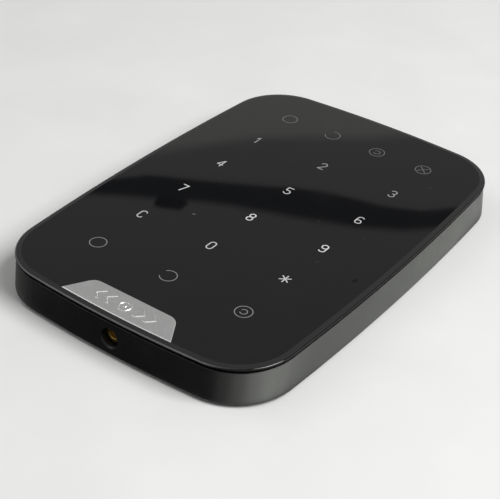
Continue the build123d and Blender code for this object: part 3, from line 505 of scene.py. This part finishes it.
def foam_finish():
    """Black foam tape with open pores."""
    surface = Surface("foam_tape", (0.012, 0.012, 0.012), 0.85)
    pores = surface.cells(FOAM_PORE)
    body = surface.grained(pores, *PORE_BAND, *FOAM_TONES)
    surface.drive("Base Color", body)
    surface.drive("Roughness", surface.span(pores, *PORE_BAND, 0.95, 0.8))
    surface.bump(pores, 3e-5)
    return surface.material


EPOXY_TONES = ((0.012, 0.012, 0.013), (0.026, 0.026, 0.027))
DIMPLE_BLACK = (0.006, 0.006, 0.006)
DIMPLE_INSET = 1 * MM
DIMPLE_EDGE = (0.3 * MM, 0.36 * MM)


def chip_finish(node):
    """Black epoxy with a moulding dimple at one corner."""
    low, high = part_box(node)
    surface = Surface(f"{node}_epoxy", (0.018, 0.018, 0.019), 0.5)
    corner = Vector((low.x + DIMPLE_INSET, high.y - DIMPLE_INSET, low.z))
    away = surface.node("ShaderNodeVectorMath", {0: surface.place, 1: corner}, operation="DISTANCE")
    dimple = surface.span(away.outputs["Value"], *DIMPLE_EDGE, 1.0, 0.0)
    grain = surface.noise(0.08 * MM, 4, 0.7)
    body = surface.grained(grain, *NOISE_BAND, *EPOXY_TONES)
    surface.drive("Base Color", surface.mix(dimple, body, DIMPLE_BLACK))
    rough = surface.span(grain, *NOISE_BAND, 0.42, 0.6)
    surface.drive("Roughness", surface.sum(rough, surface.times(dimple, -0.3)))
    surface.bump(surface.sum(grain, surface.times(dimple, -4.0)), 5e-6)
    return surface.material


def finish_cad_nodes():
    """Gives every CAD node its material."""
    bay_low, bay_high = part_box("battery_1")
    housing = moulded("housing_black", (0.008, 0.008, 0.0083), 0.34, 0.2 * MM, 4e-6,
                      edge_wear(HOUSING_LOW.z, HOUSING_HIGH.z, 0.35 * MM))
    bracket = moulded("bracket_black", (0.02, 0.02, 0.021), 0.5, 0.3 * MM, 9e-6)
    frame_black = moulded("frame_black", (0.014, 0.014, 0.015), 0.45)
    button = moulded("button_grey", (0.11, 0.11, 0.115), 0.42, 0.18 * MM)
    switch = moulded("switch_black", (0.03, 0.03, 0.03), 0.4, 0.12 * MM)
    sounder = moulded("sounder_black", (0.02, 0.02, 0.02), 0.48, 0.15 * MM)
    cell = cell_finish((bay_low.y + bay_high.y) / 2, (bay_high.y - bay_low.y) / 2)
    tin = metal("tinned_steel", (0.62, 0.61, 0.58), 0.3, (1, 0.06, 1))
    nickel = metal("nickel_plate", (0.68, 0.66, 0.61), 0.2, (0.08, 1, 1))
    spring = metal("spring_wire", (0.5, 0.5, 0.5), 0.28, (1, 1, 0.1))
    brass = metal("turned_brass", (0.76, 0.55, 0.22), 0.26, (1, 0.05, 1), tarnish=0.35)
    washer = metal("washer_steel", (0.56, 0.56, 0.56), 0.32, (1, 0.1, 1))
    finishes = {
        "touch_panel": glass_finish(), "badge": badge_finish(), "housing_shell": housing,
        "front_frame": frame_black, "wall_bracket": bracket, "panel_adhesive": foam_finish(),
        "light_guide": film_finish(), "key_leds": led_finish(), "indicator_leds": led_finish(),
        "main_board": board_finish(), "radio_shield": tin, "antenna": tin, "case_screws": tin,
        "sounder": sounder, "main_controller": chip_finish("main_controller"),
        "touch_controller": chip_finish("touch_controller"), "capacitors": capacitor_finish(),
        "id_label": label_finish(), "battery_1": cell, "battery_2": cell, "battery_3": cell,
        "battery_4": cell, "lower_contacts": nickel, "upper_contacts": nickel, "tamper_switch": switch,
        "power_switch": switch, "power_switch_plunger": switch, "tamper_plunger": button,
        "power_button": button, "tamper_spring": spring, "lug_insert": brass, "lock_washer": washer,
        "lock_screw": brass,
    }
    for name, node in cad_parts.items():
        node.data.materials.clear()
        node.data.materials.append(finishes[name])


# ---------------------------------------------------------------- printed legends

LEGEND_PROUD = 0.012 * MM   # how far the print stands out of the glass
LEGEND_SUNK = 0.01 * MM     # and into it
DIGIT_STROKE = 0.42 * MM
RING_STROKE = 0.27 * MM
RING_RADIUS = 2.65 * MM
INNER_RING_RADIUS = 1.1 * MM
LED_SIZE = Vector((1.6, 0.8)) * MM
LED_ABOVE_KEY = 4.4 * MM
ARC_STEP = 9.0              # degrees


def arc(centre_x, centre_y, radius, start, end):
    """Points along an arc, in millimetres and degrees."""
    steps = max(2, round(abs(end - start) / ARC_STEP))
    angles = [radians(start + (end - start) * i / steps) for i in range(steps + 1)]
    return [(centre_x + radius * cos(a), centre_y + radius * sin(a)) for a in angles]


def spoke(radius, angle):
    """A straight stroke across the middle, in millimetres and degrees."""
    end = (radius * cos(radians(angle)), radius * sin(radians(angle)))
    return [end, (-end[0], -end[1])]


# The middle lines of each character's strokes, in millimetres about the key's centre
HALF = 1.95                 # half the height of a digit, to the middle of its stroke
BOWL = 1.0                  # radius of the digits' round ends
NARROW_BOWL = 0.97          # the same for 3 and C
TOP_BOWL = 0.93             # and for the upper half of 8
CHARACTERS = {
    "1": [[(-0.62, 1.15), (0.25, HALF), (0.25, -HALF)]],
    "2": [arc(0, HALF - BOWL, BOWL, 165, -38) + [(-BOWL, -HALF), (BOWL, -HALF)]],
    "3": [arc(0, HALF - NARROW_BOWL, NARROW_BOWL, 155, -90) + arc(0, BOWL - HALF, BOWL, 88, -155)],
    "4": [[(0.5, -HALF), (0.5, HALF), (-1.05, -0.8), (1.05, -0.8)]],
    "5": [[(0.92, HALF), (-0.8, HALF), (-0.88, 0.25)] + arc(0, -0.85, 1.1, 118, -150)],
    "6": [arc(0, HALF - BOWL, BOWL, 40, 180) + arc(0, BOWL - HALF, BOWL, 180, 540)],
    "7": [[(-BOWL, HALF), (BOWL, HALF), (-0.25, -HALF)]],
    "8": [arc(0, HALF - TOP_BOWL, TOP_BOWL, 0, 360), arc(0, BOWL - HALF, BOWL, 0, 360)],
    "9": [arc(0, BOWL - HALF, BOWL, 220, 360) + arc(0, HALF - BOWL, BOWL, 0, 360)],
    "0": [arc(0, HALF - BOWL, BOWL, 0, 180) + arc(0, BOWL - HALF, BOWL, 180, 360)
          + [(BOWL, HALF - BOWL)]],
    "C": [arc(0, HALF - NARROW_BOWL, NARROW_BOWL, 25, 180)
          + arc(0, NARROW_BOWL - HALF, NARROW_BOWL, 180, 335)],
    "star": [spoke(1.75, angle) for angle in (90, 35, 145)],
}
RING_MM = RING_RADIUS / MM
INNER_MM = INNER_RING_RADIUS / MM
CROSS_MM = 1.5
ICONS = {
    "ring": [arc(0, 0, RING_MM, 0, 360)],
    "open_ring": [arc(0, 0, RING_MM, -145, 140)],
    "upper_open_ring": [arc(0, 0, RING_MM, -160, 105)],
    "double_ring": [arc(0, 0, RING_MM, 0, 360), arc(0, 0, INNER_MM, -140, 150)],
    "crossed_ring": [arc(0, 0, RING_MM, 0, 360), [(-CROSS_MM, CROSS_MM), (CROSS_MM, -CROSS_MM)],
                     [(-CROSS_MM, -CROSS_MM), (CROSS_MM, CROSS_MM)]],
}
KEY_ROWS = (("1", "2", "3"), ("4", "5", "6"), ("7", "8", "9"), ("C", "0", "star"),
            ("ring", "open_ring", "double_ring"))
ROW_SHADES = (0.34, 0.62, 0.78, 0.6, 0.26)
INDICATOR_SHADE = 0.15
INDICATOR_ROW = ("ring", "upper_open_ring", "double_ring", "crossed_ring")
SHARP_TURN = 0.35           # radians; a stroke is rounded off at a sharper turn
SAME_POINT = 1e-4           # millimetres
LEAST_STEP = 1e-6
WEAKEST_MITRE = 0.5
DISC_STEPS = 20
MERGE_DISTANCE = 1e-5
TRIANGLES_INSIDE = 1        # the triangulation keeps what the faces cover
FLAT_ANGLE = radians(1)     # neighbouring faces flatter than this become one


def split_at_corners(path):
    """The path as runs that turn gently, cut where it turns sharply."""
    runs = [[path[0]]]
    for before, here, after in zip(path, path[1:], path[2:]):
        runs[-1].append(here)
        turn = (Vector(here) - Vector(before)).angle_signed(Vector(after) - Vector(here), 0.0)
        if abs(turn) > SHARP_TURN:
            runs.append([here])
    runs[-1].append(path[-1])
    return runs


def without_repeats(path):
    kept = [path[0]]
    for point in path[1:]:
        if hypot(point[0] - kept[-1][0], point[1] - kept[-1][1]) > SAME_POINT:
            kept.append(point)
    return kept


def ribbon(run, half_width):
    """Quads along a run, and a disc at each end unless the run closes on itself."""
    closed = len(run) > 2 and (Vector(run[0]) - Vector(run[-1])).length < SAME_POINT
    points = [Vector(p) for p in run]
    sides = []
    for i, point in enumerate(points):
        before = points[i - 1] if i > 0 else (points[-2] if closed else point)
        after = points[i + 1] if i < len(points) - 1 else (points[1] if closed else point)
        steps = [point - before, after - point]
        ways = [step.normalized() for step in steps if step.length > LEAST_STEP]
        way = sum(ways, Vector((0, 0))).normalized()
        reach = half_width / max(WEAKEST_MITRE, way.dot(ways[0]))
        across = Vector((-way.y, way.x)) * reach
        sides.append((point - across, point + across))
    faces = [[a[0], b[0], b[1], a[1]] for a, b in zip(sides, sides[1:])]
    if not closed:
        angles = [2 * pi * i / DISC_STEPS for i in range(DISC_STEPS)]
        for end in (points[0], points[-1]):
            faces.append([end + Vector((cos(a), sin(a))) * half_width for a in angles])
    return faces


def merged_plate(name, faces, low_z, high_z, centre):
    """One closed plate from overlapping flat faces in millimetres, moved to centre."""
    coordinates = []
    indices = []
    for face in faces:
        indices.append(list(range(len(coordinates), len(coordinates) + len(face))))
        coordinates.extend(face)
    made = delaunay_2d_cdt(coordinates, [], indices, TRIANGLES_INSIDE, MERGE_DISTANCE)
    points, _, triangles, _, _, origins = made
    inside = [list(t) for t, origin in zip(triangles, origins) if origin]
    mesh = bmesh.new()
    layers = []
    for z in (low_z, high_z):
        layers.append([mesh.verts.new((centre.x + p.x * MM, centre.y + p.y * MM, z)) for p in points])
    low, high = layers
    edge_count = {}
    for triangle in inside:
        a, b, c = triangle
        turn = (points[b] - points[a]).cross(points[c] - points[a])
        if turn < 0:
            a, c = c, a
        mesh.faces.new([high[i] for i in (a, b, c)])
        mesh.faces.new([low[i] for i in (c, b, a)])
        for pair in ((a, b), (b, c), (c, a)):
            edge_count[pair] = edge_count.get(pair, 0) + 1
    for a, b in edge_count:
        if (b, a) not in edge_count:
            mesh.faces.new([high[b], high[a], low[a], low[b]])
    loose = [v for v in mesh.verts if not v.link_faces]
    bmesh.ops.delete(mesh, geom=loose, context="VERTS")
    bmesh.ops.dissolve_limit(mesh, angle_limit=FLAT_ANGLE, verts=mesh.verts, edges=mesh.edges)
    return mesh_object(name, mesh)


def mesh_object(name, mesh):
    data = bpy.data.meshes.new(name)
    mesh.to_mesh(data)
    mesh.free()
    shown = bpy.data.objects.new(name, data)
    bpy.context.scene.collection.objects.link(shown)
    return shown


def legend(name, strokes, width, centre, material):
    """One printed character or icon, riding on the keypad."""
    faces = []
    for path in strokes:
        for run in split_at_corners(without_repeats(path)):
            faces.extend(ribbon(run, width / MM / 2))
    shown = merged_plate(name, faces, GLASS_TOP - LEGEND_SUNK, GLASS_TOP + LEGEND_PROUD, centre)
    shown.data.materials.append(material)
    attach(shown, "housing")


def print_legends():
    """Fifteen key legends on the grid of their lights, and four indicators above them."""
    prints = [legend_finish(f"row_{row + 1}_print", shade) for row, shade in enumerate(ROW_SHADES)]
    dim = legend_finish("indicator_print", INDICATOR_SHADE)
    low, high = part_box("key_leds")
    pitch_x = (high.x - low.x - LED_SIZE.x) / 2
    pitch_y = (high.y - low.y - LED_SIZE.y) / (len(KEY_ROWS) - 1)
    middle_x = (low.x + high.x) / 2
    top_y = high.y - LED_SIZE.y / 2 - LED_ABOVE_KEY
    for row, names in enumerate(KEY_ROWS):
        for column, name in enumerate(names):
            centre = Vector((middle_x + (column - 1) * pitch_x, top_y - row * pitch_y))
            strokes = CHARACTERS.get(name) or ICONS[name]
            width = DIGIT_STROKE if name in CHARACTERS else RING_STROKE
            legend(f"key_legend_{name}", strokes, width, centre, prints[row])
    low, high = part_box("indicator_leds")
    pitch = (high.x - low.x - LED_SIZE.x) / (len(INDICATOR_ROW) - 1)
    row_y = high.y - LED_SIZE.y / 2 - LED_ABOVE_KEY
    for column, name in enumerate(INDICATOR_ROW):
        centre = Vector((low.x + LED_SIZE.x / 2 + column * pitch, row_y))
        legend(f"indicator_legend_{name}", ICONS[name], RING_STROKE, centre, dim)


# ---------------------------------------------------------------- locking screw

ROUND_STEPS = 60
KNURL_RIDGES = 30
KNURL_DEPTH = 0.09 * MM
THREAD_PITCH = 0.5 * MM
THREAD_DEPTH = 0.27 * MM
THREAD_STEPS = 8
HEAD_HEIGHT = 1.9 * MM
HEAD_CHAMFER = 0.22 * MM
SHANK_RADIUS = 1.49 * MM
PLAIN_NECK = 0.8 * MM
SOCKET_HALF = 1.25 * MM     # half the hexagon's width across flats
SOCKET_DEPTH = 1.1 * MM
SOCKET_MOUTH = 1.62 * MM
SOCKET_LEAD = 0.2 * MM
KNURL_LEAD = 0.08 * MM


def hexagon_reach(angle):
    """Distance from the middle of the socket to its wall."""
    sixth = pi / 3
    return SOCKET_HALF / cos((angle % sixth) - sixth / 2)


def head_rings(face_y, radius):
    """Radius at an angle, and Y, of each ring from the socket's floor to the underside of the head."""
    def knurled(angle):
        return radius - KNURL_DEPTH * (1 - cos(KNURL_RIDGES * angle)) / 2
    foot_y = face_y + HEAD_HEIGHT
    return [
        (hexagon_reach, face_y + SOCKET_DEPTH),
        (hexagon_reach, face_y + SOCKET_LEAD),
        (lambda angle: SOCKET_MOUTH, face_y),
        (lambda angle: radius - HEAD_CHAMFER, face_y),
        (lambda angle: radius - KNURL_DEPTH, face_y + HEAD_CHAMFER),
        (knurled, face_y + HEAD_CHAMFER + KNURL_LEAD),
        (knurled, foot_y - HEAD_CHAMFER - KNURL_LEAD),
        (lambda angle: radius - KNURL_DEPTH, foot_y - HEAD_CHAMFER),
        (lambda angle: radius - HEAD_CHAMFER, foot_y),
    ]


def thread_rings(start_y, tip_y):
    """Rings down the shank: a plain neck, a helical thread, and a chamfered tip."""
    def threaded(y):
        fade = min(1.0, (y - start_y - PLAIN_NECK) / THREAD_PITCH, (tip_y - y) / THREAD_PITCH)
        def reach(angle):
            turn = (y / THREAD_PITCH + angle / (2 * pi)) % 1.0
            return SHANK_RADIUS - THREAD_DEPTH * fade * (1 - abs(2 * turn - 1))
        return reach
    rings = [(lambda angle: SHANK_RADIUS, start_y), (lambda angle: SHANK_RADIUS, start_y + PLAIN_NECK)]
    step = THREAD_PITCH / THREAD_STEPS
    y = start_y + PLAIN_NECK + step
    while y < tip_y - step:
        rings.append((threaded(y), y))
        y += step
    rings.append((lambda angle: SHANK_RADIUS - THREAD_DEPTH, tip_y))
    return rings


def add_lock_screw():
    """The knurled screw in the lower wall, which takes the plain one's place."""
    low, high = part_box("lock_screw")
    axis_x = (low.x + high.x) / 2
    axis_z = (low.z + high.z) / 2
    rings = head_rings(low.y, (high.x - low.x) / 2) + thread_rings(low.y + HEAD_HEIGHT, high.y)
    mesh = bmesh.new()
    grid = []
    for reach, y in rings:
        ring = []
        for i in range(ROUND_STEPS):
            angle = 2 * pi * i / ROUND_STEPS
            x = axis_x + reach(angle) * cos(angle)
            z = axis_z + reach(angle) * sin(angle)
            ring.append(mesh.verts.new((x, y, z)))
        grid.append(ring)
    for near, far in zip(grid, grid[1:]):
        for i in range(ROUND_STEPS):
            j = (i + 1) % ROUND_STEPS
            mesh.faces.new((near[i], near[j], far[j], far[i]))
    mesh.faces.new(grid[0])
    mesh.faces.new(grid[-1])
    bmesh.ops.recalc_face_normals(mesh, faces=mesh.faces)
    screw = mesh_object("knurled_lock_screw", mesh)
    brass = metal("screw_brass", (0.5, 0.34, 0.1), 0.3, (1, 0.3, 1), tarnish=0.6)
    screw.data.materials.append(brass)
    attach(screw, "lock_screw")
    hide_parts("lock_screw")


# ---------------------------------------------------------------- studio

FLOOR_HALF = 8.0
KEY_LIGHT = {"place": (0.85, 0.1, 0.95), "width": 0.7, "height": 0.7, "power": 17.0}
FILL_LIGHT = {"place": (-0.9, -0.5, 1.0), "width": 1.2, "height": 1.2, "power": 3.0}
SKY_LIGHT = 0.27            # what the surfaces and their reflections see
SKY_SHOWN = 0.72            # what the camera sees past the floor
CARD_DISTANCE = 0.9         # from the glass to the cards it mirrors
FLOOR_TONES = ((0.75, 0.75, 0.745), (0.79, 0.79, 0.785))
SKY_COLOUR = (1.0, 1.0, 0.99)
COOL_GREY = (0.85, 0.92, 1.0)
WARM_WHITE = (1.0, 1.0, 0.96)
WALL_WHITE = (0.97, 1.0, 0.93)
GAP_STRENGTH = 0.045
BLOCK_STRENGTH = 0.02
PANEL_STRENGTH = 0.47
DARK_WALL_STRENGTH = 0.03


def add_floor():
    mesh = bmesh.new()
    corners = [(x * FLOOR_HALF, y * FLOOR_HALF) for x, y in ((-1, -1), (1, -1), (1, 1), (-1, 1))]
    mesh.faces.new([mesh.verts.new((x, y, FLOOR_LEVEL)) for x, y in corners])
    floor = mesh_object("floor", mesh)
    surface = Surface("pale_floor", (0.78, 0.78, 0.77), 0.9, Specular_IOR_Level=0.0)
    tone = surface.noise(40 * MM, 4)
    surface.drive("Base Color", surface.grained(tone, *NOISE_BAND, *FLOOR_TONES))
    floor.data.materials.append(surface.material)


def add_sky():
    world = bpy.data.worlds.new("studio")
    world.use_nodes = True
    bpy.context.scene.world = world
    tree = world.node_tree
    path = tree.nodes.new("ShaderNodeLightPath")
    shown = tree.nodes.new("ShaderNodeMapRange")
    shown.inputs["To Min"].default_value = SKY_LIGHT
    shown.inputs["To Max"].default_value = SKY_SHOWN
    tree.links.new(path.outputs["Is Camera Ray"], shown.inputs["Value"])
    background = tree.nodes["Background"]
    background.inputs["Color"].default_value = (*SKY_COLOUR, 1)
    tree.links.new(shown.outputs["Result"], background.inputs["Strength"])


def add_softbox(name, place, width, height, power):
    data = bpy.data.lights.new(name, "AREA")
    data.shape = "RECTANGLE"
    data.size = width
    data.size_y = height
    data.energy = power
    light = bpy.data.objects.new(name, data)
    light.location = place
    light.rotation_euler = (-Vector(place)).to_track_quat("-Z", "Y").to_euler()
    bpy.context.scene.collection.objects.link(light)


def seen_in_glass(x, y):
    """The point that the camera sees mirrored at a place on the glass, given in millimetres."""
    spot = Vector((x * MM, y * MM, GLASS_TOP))
    way = (spot - CAMERA_PLACE).normalized()
    way.z = -way.z
    return spot + way * CARD_DISTANCE


def glossy_only(card, material):
    card.data.materials.append(material)
    for rays in ("camera", "diffuse", "shadow", "transmission", "volume_scatter"):
        setattr(card, f"visible_{rays}", False)


def card_material(name, colour, strength):
    """Plain light whose edges fade with the mesh's own cover attribute."""
    material = bpy.data.materials.new(name)
    material.use_nodes = True
    tree = material.node_tree
    tree.nodes.clear()
    cover = tree.nodes.new("ShaderNodeAttribute")
    cover.attribute_name = "cover"
    clear = tree.nodes.new("ShaderNodeBsdfTransparent")
    light = tree.nodes.new("ShaderNodeEmission")
    light.inputs["Color"].default_value = (*colour, 1)
    light.inputs["Strength"].default_value = strength
    blend = tree.nodes.new("ShaderNodeMixShader")
    output = tree.nodes.new("ShaderNodeOutputMaterial")
    tree.links.new(cover.outputs["Fac"], blend.inputs[0])
    tree.links.new(clear.outputs[0], blend.inputs[1])
    tree.links.new(light.outputs[0], blend.inputs[2])
    tree.links.new(blend.outputs[0], output.inputs["Surface"])
    return material


def add_card(name, rows, covers, colour, strength, place=seen_in_glass):
    """A sheet through rows of points, each row with its own cover from 0, clear, to 1."""
    mesh = bmesh.new()
    layer = mesh.verts.layers.float.new("cover")
    grid = []
    for row, cover in zip(rows, covers):
        grid.append([mesh.verts.new(place(*point)) for point in row])
        for vertex in grid[-1]:
            vertex[layer] = cover
    for near, far in zip(grid, grid[1:]):
        for a, b, c, d in zip(near, near[1:], far[1:], far):
            mesh.faces.new((a, b, c, d))
    glossy_only(mesh_object(name, mesh), card_material(name, colour, strength))


def shifted(row, x, y):
    return [(px + x, py + y) for px, py in row]


def add_reflections():
    """What the glass mirrors: a dark gap and block between soft ceiling panels, and a brighter panel."""
    top = [(-58, -34), (-48, -17), (-42, -8.5), (-30, -1.5), (-15, 7), (0, 16),
           (10, 21), (20, 23.5), (30, 26.5), (40, 31.5), (47, 40), (58, 52)]
    foot = [(-58, -44), (-48, -30), (-42, -26), (-30, -18), (-15, -9), (0, -3),
            (10, 1), (20, 5.5), (30, 10), (40, 16), (47, 23), (58, 34)]
    gap = [shifted(top, 0, 1.2), shifted(top, 0, -1.2), shifted(foot, 0, 3), shifted(foot, 0, -1.5)]
    add_card("gap_card", gap, (0, 1, 1, 0), COOL_GREY, GAP_STRENGTH)
    block = [[(-32, -12), (-26, -9), (-21, -12)], [(-31, -15), (-26, -12), (-20, -14)],
             [(-29, -20), (-26, -20), (-20, -17)], [(-28, -22), (-26, -21.5), (-19, -18)]]
    add_card("block_card", block, (0, 1, 1, 0), COOL_GREY, BLOCK_STRENGTH)
    rim = [(-52, 2), (-42, 16), (-34, 28), (-26, 39), (-16, 48), (-4, 57), (6, 66), (16, 78)]
    panel = [shifted(rim, 2.5, -2.5), shifted(rim, -2.5, 2.5), shifted(rim, -60, 60)]
    add_card("panel_card", panel, (0, 1, 1), WARM_WHITE, PANEL_STRENGTH)


WALL_CORNER = 20.0          # millimetres
WALL_CARD_REACH = 150.0
WALL_LIGHT = 4.2
WALL_CARD_GAP = 0.3         # millimetres from the wall to the card's near edge
DARK_CARD_HEIGHT = 0.15     # millimetres above the floor
BRIGHT_CARD_HEIGHT = 0.3
LOWER_TURN = 0              # degrees; which way the lower and the right wall face
RIGHT_TURN = 90
# How bright the floor beside the walls looks in them. At the corners: the wall's turn from -Y towards
# +X and the card's cover. Along the walls: the place as a share of half the wall, and the cover.
CORNER_GLOW = ((-60, 0.03), (-40, 0.035), (-25, 0.04), (-10, 0.02), (0, 0.008))
LOWER_WALL_GLOW = ((-0.6, 0.0), (0.7, 0.0))
RIGHT_CORNER_GLOW = ((8, 0.0), (20, 0.09), (34, 0.28), (47, 0.6), (60, 0.8), (75, 0.6),
                     (88, 0.34))
RIGHT_WALL_GLOW = ((-0.8, 0.28), (-0.3, 0.27), (0.3, 0.29), (1.0, 0.31), (1.25, 0.32))


def wall_rows():
    """Rays along the table from places round the lower and right walls, and each one's cover."""
    centre_x = HOUSING_HIGH.x / MM - WALL_CORNER
    centre_y = -HOUSING_LOW.y / MM - WALL_CORNER
    places = []
    for turn, cover in CORNER_GLOW:
        places.append((-centre_x, -centre_y, turn, cover))
    for part, cover in LOWER_WALL_GLOW:
        places.append((part * centre_x, -centre_y, LOWER_TURN, cover))
    for turn, cover in RIGHT_CORNER_GLOW:
        places.append((centre_x, -centre_y, turn, cover))
    for part, cover in RIGHT_WALL_GLOW:
        places.append((centre_x, part * centre_y, RIGHT_TURN, cover))
    rows = []
    for x, y, turn, cover in places:
        out_x = sin(radians(turn))
        out_y = -cos(radians(turn))
        way = radians(2 * turn - CAMERA_AZIMUTH)
        clear = WALL_CORNER + WALL_CARD_GAP
        start_x = x + clear * out_x
        start_y = y + clear * out_y
        far = (start_x + WALL_CARD_REACH * sin(way), start_y - WALL_CARD_REACH * cos(way))
        rows.append(([(start_x, start_y), far], cover))
    return rows


def add_wall_cards():
    """Black and bright cards on the table beside the keypad, which only its glossy walls see."""
    def on_table(height):
        return lambda x, y: Vector((x * MM, y * MM, FLOOR_LEVEL + height * MM))
    rows = wall_rows()
    lines = [row for row, cover in rows]
    covers = [cover for row, cover in rows]
    full = [1] * len(rows)
    low = on_table(DARK_CARD_HEIGHT)
    high = on_table(BRIGHT_CARD_HEIGHT)
    add_card("dark_wall_card", lines, full, (1, 1, 1), DARK_WALL_STRENGTH, low)
    add_card("bright_wall_card", lines, covers, WALL_WHITE, WALL_LIGHT, high)


def add_camera():
    data = bpy.data.cameras.new("camera")
    data.sensor_width = SENSOR_WIDTH
    data.lens = CAMERA_LENS
    data.clip_start = NEAREST_SEEN
    camera = bpy.data.objects.new("camera", data)
    tilt = Matrix.Rotation(radians(90 - CAMERA_ELEVATION), 4, "X")
    turn = Matrix.Rotation(radians(CAMERA_AZIMUTH), 4, "Z")
    roll = Matrix.Rotation(radians(CAMERA_ROLL), 4, "Z")
    camera.matrix_world = Matrix.Translation(CAMERA_PLACE) @ turn @ tilt @ roll
    bpy.context.scene.collection.objects.link(camera)
    bpy.context.scene.camera = camera


# ---------------------------------------------------------------- the scene

add_camera()
add_floor()
add_sky()
add_softbox("key_light", **KEY_LIGHT)
add_softbox("fill_light", **FILL_LIGHT)
add_reflections()
add_wall_cards()
finish_cad_nodes()
print_legends()
add_lock_screw()
bpy.context.scene.view_settings.view_transform = "Standard"
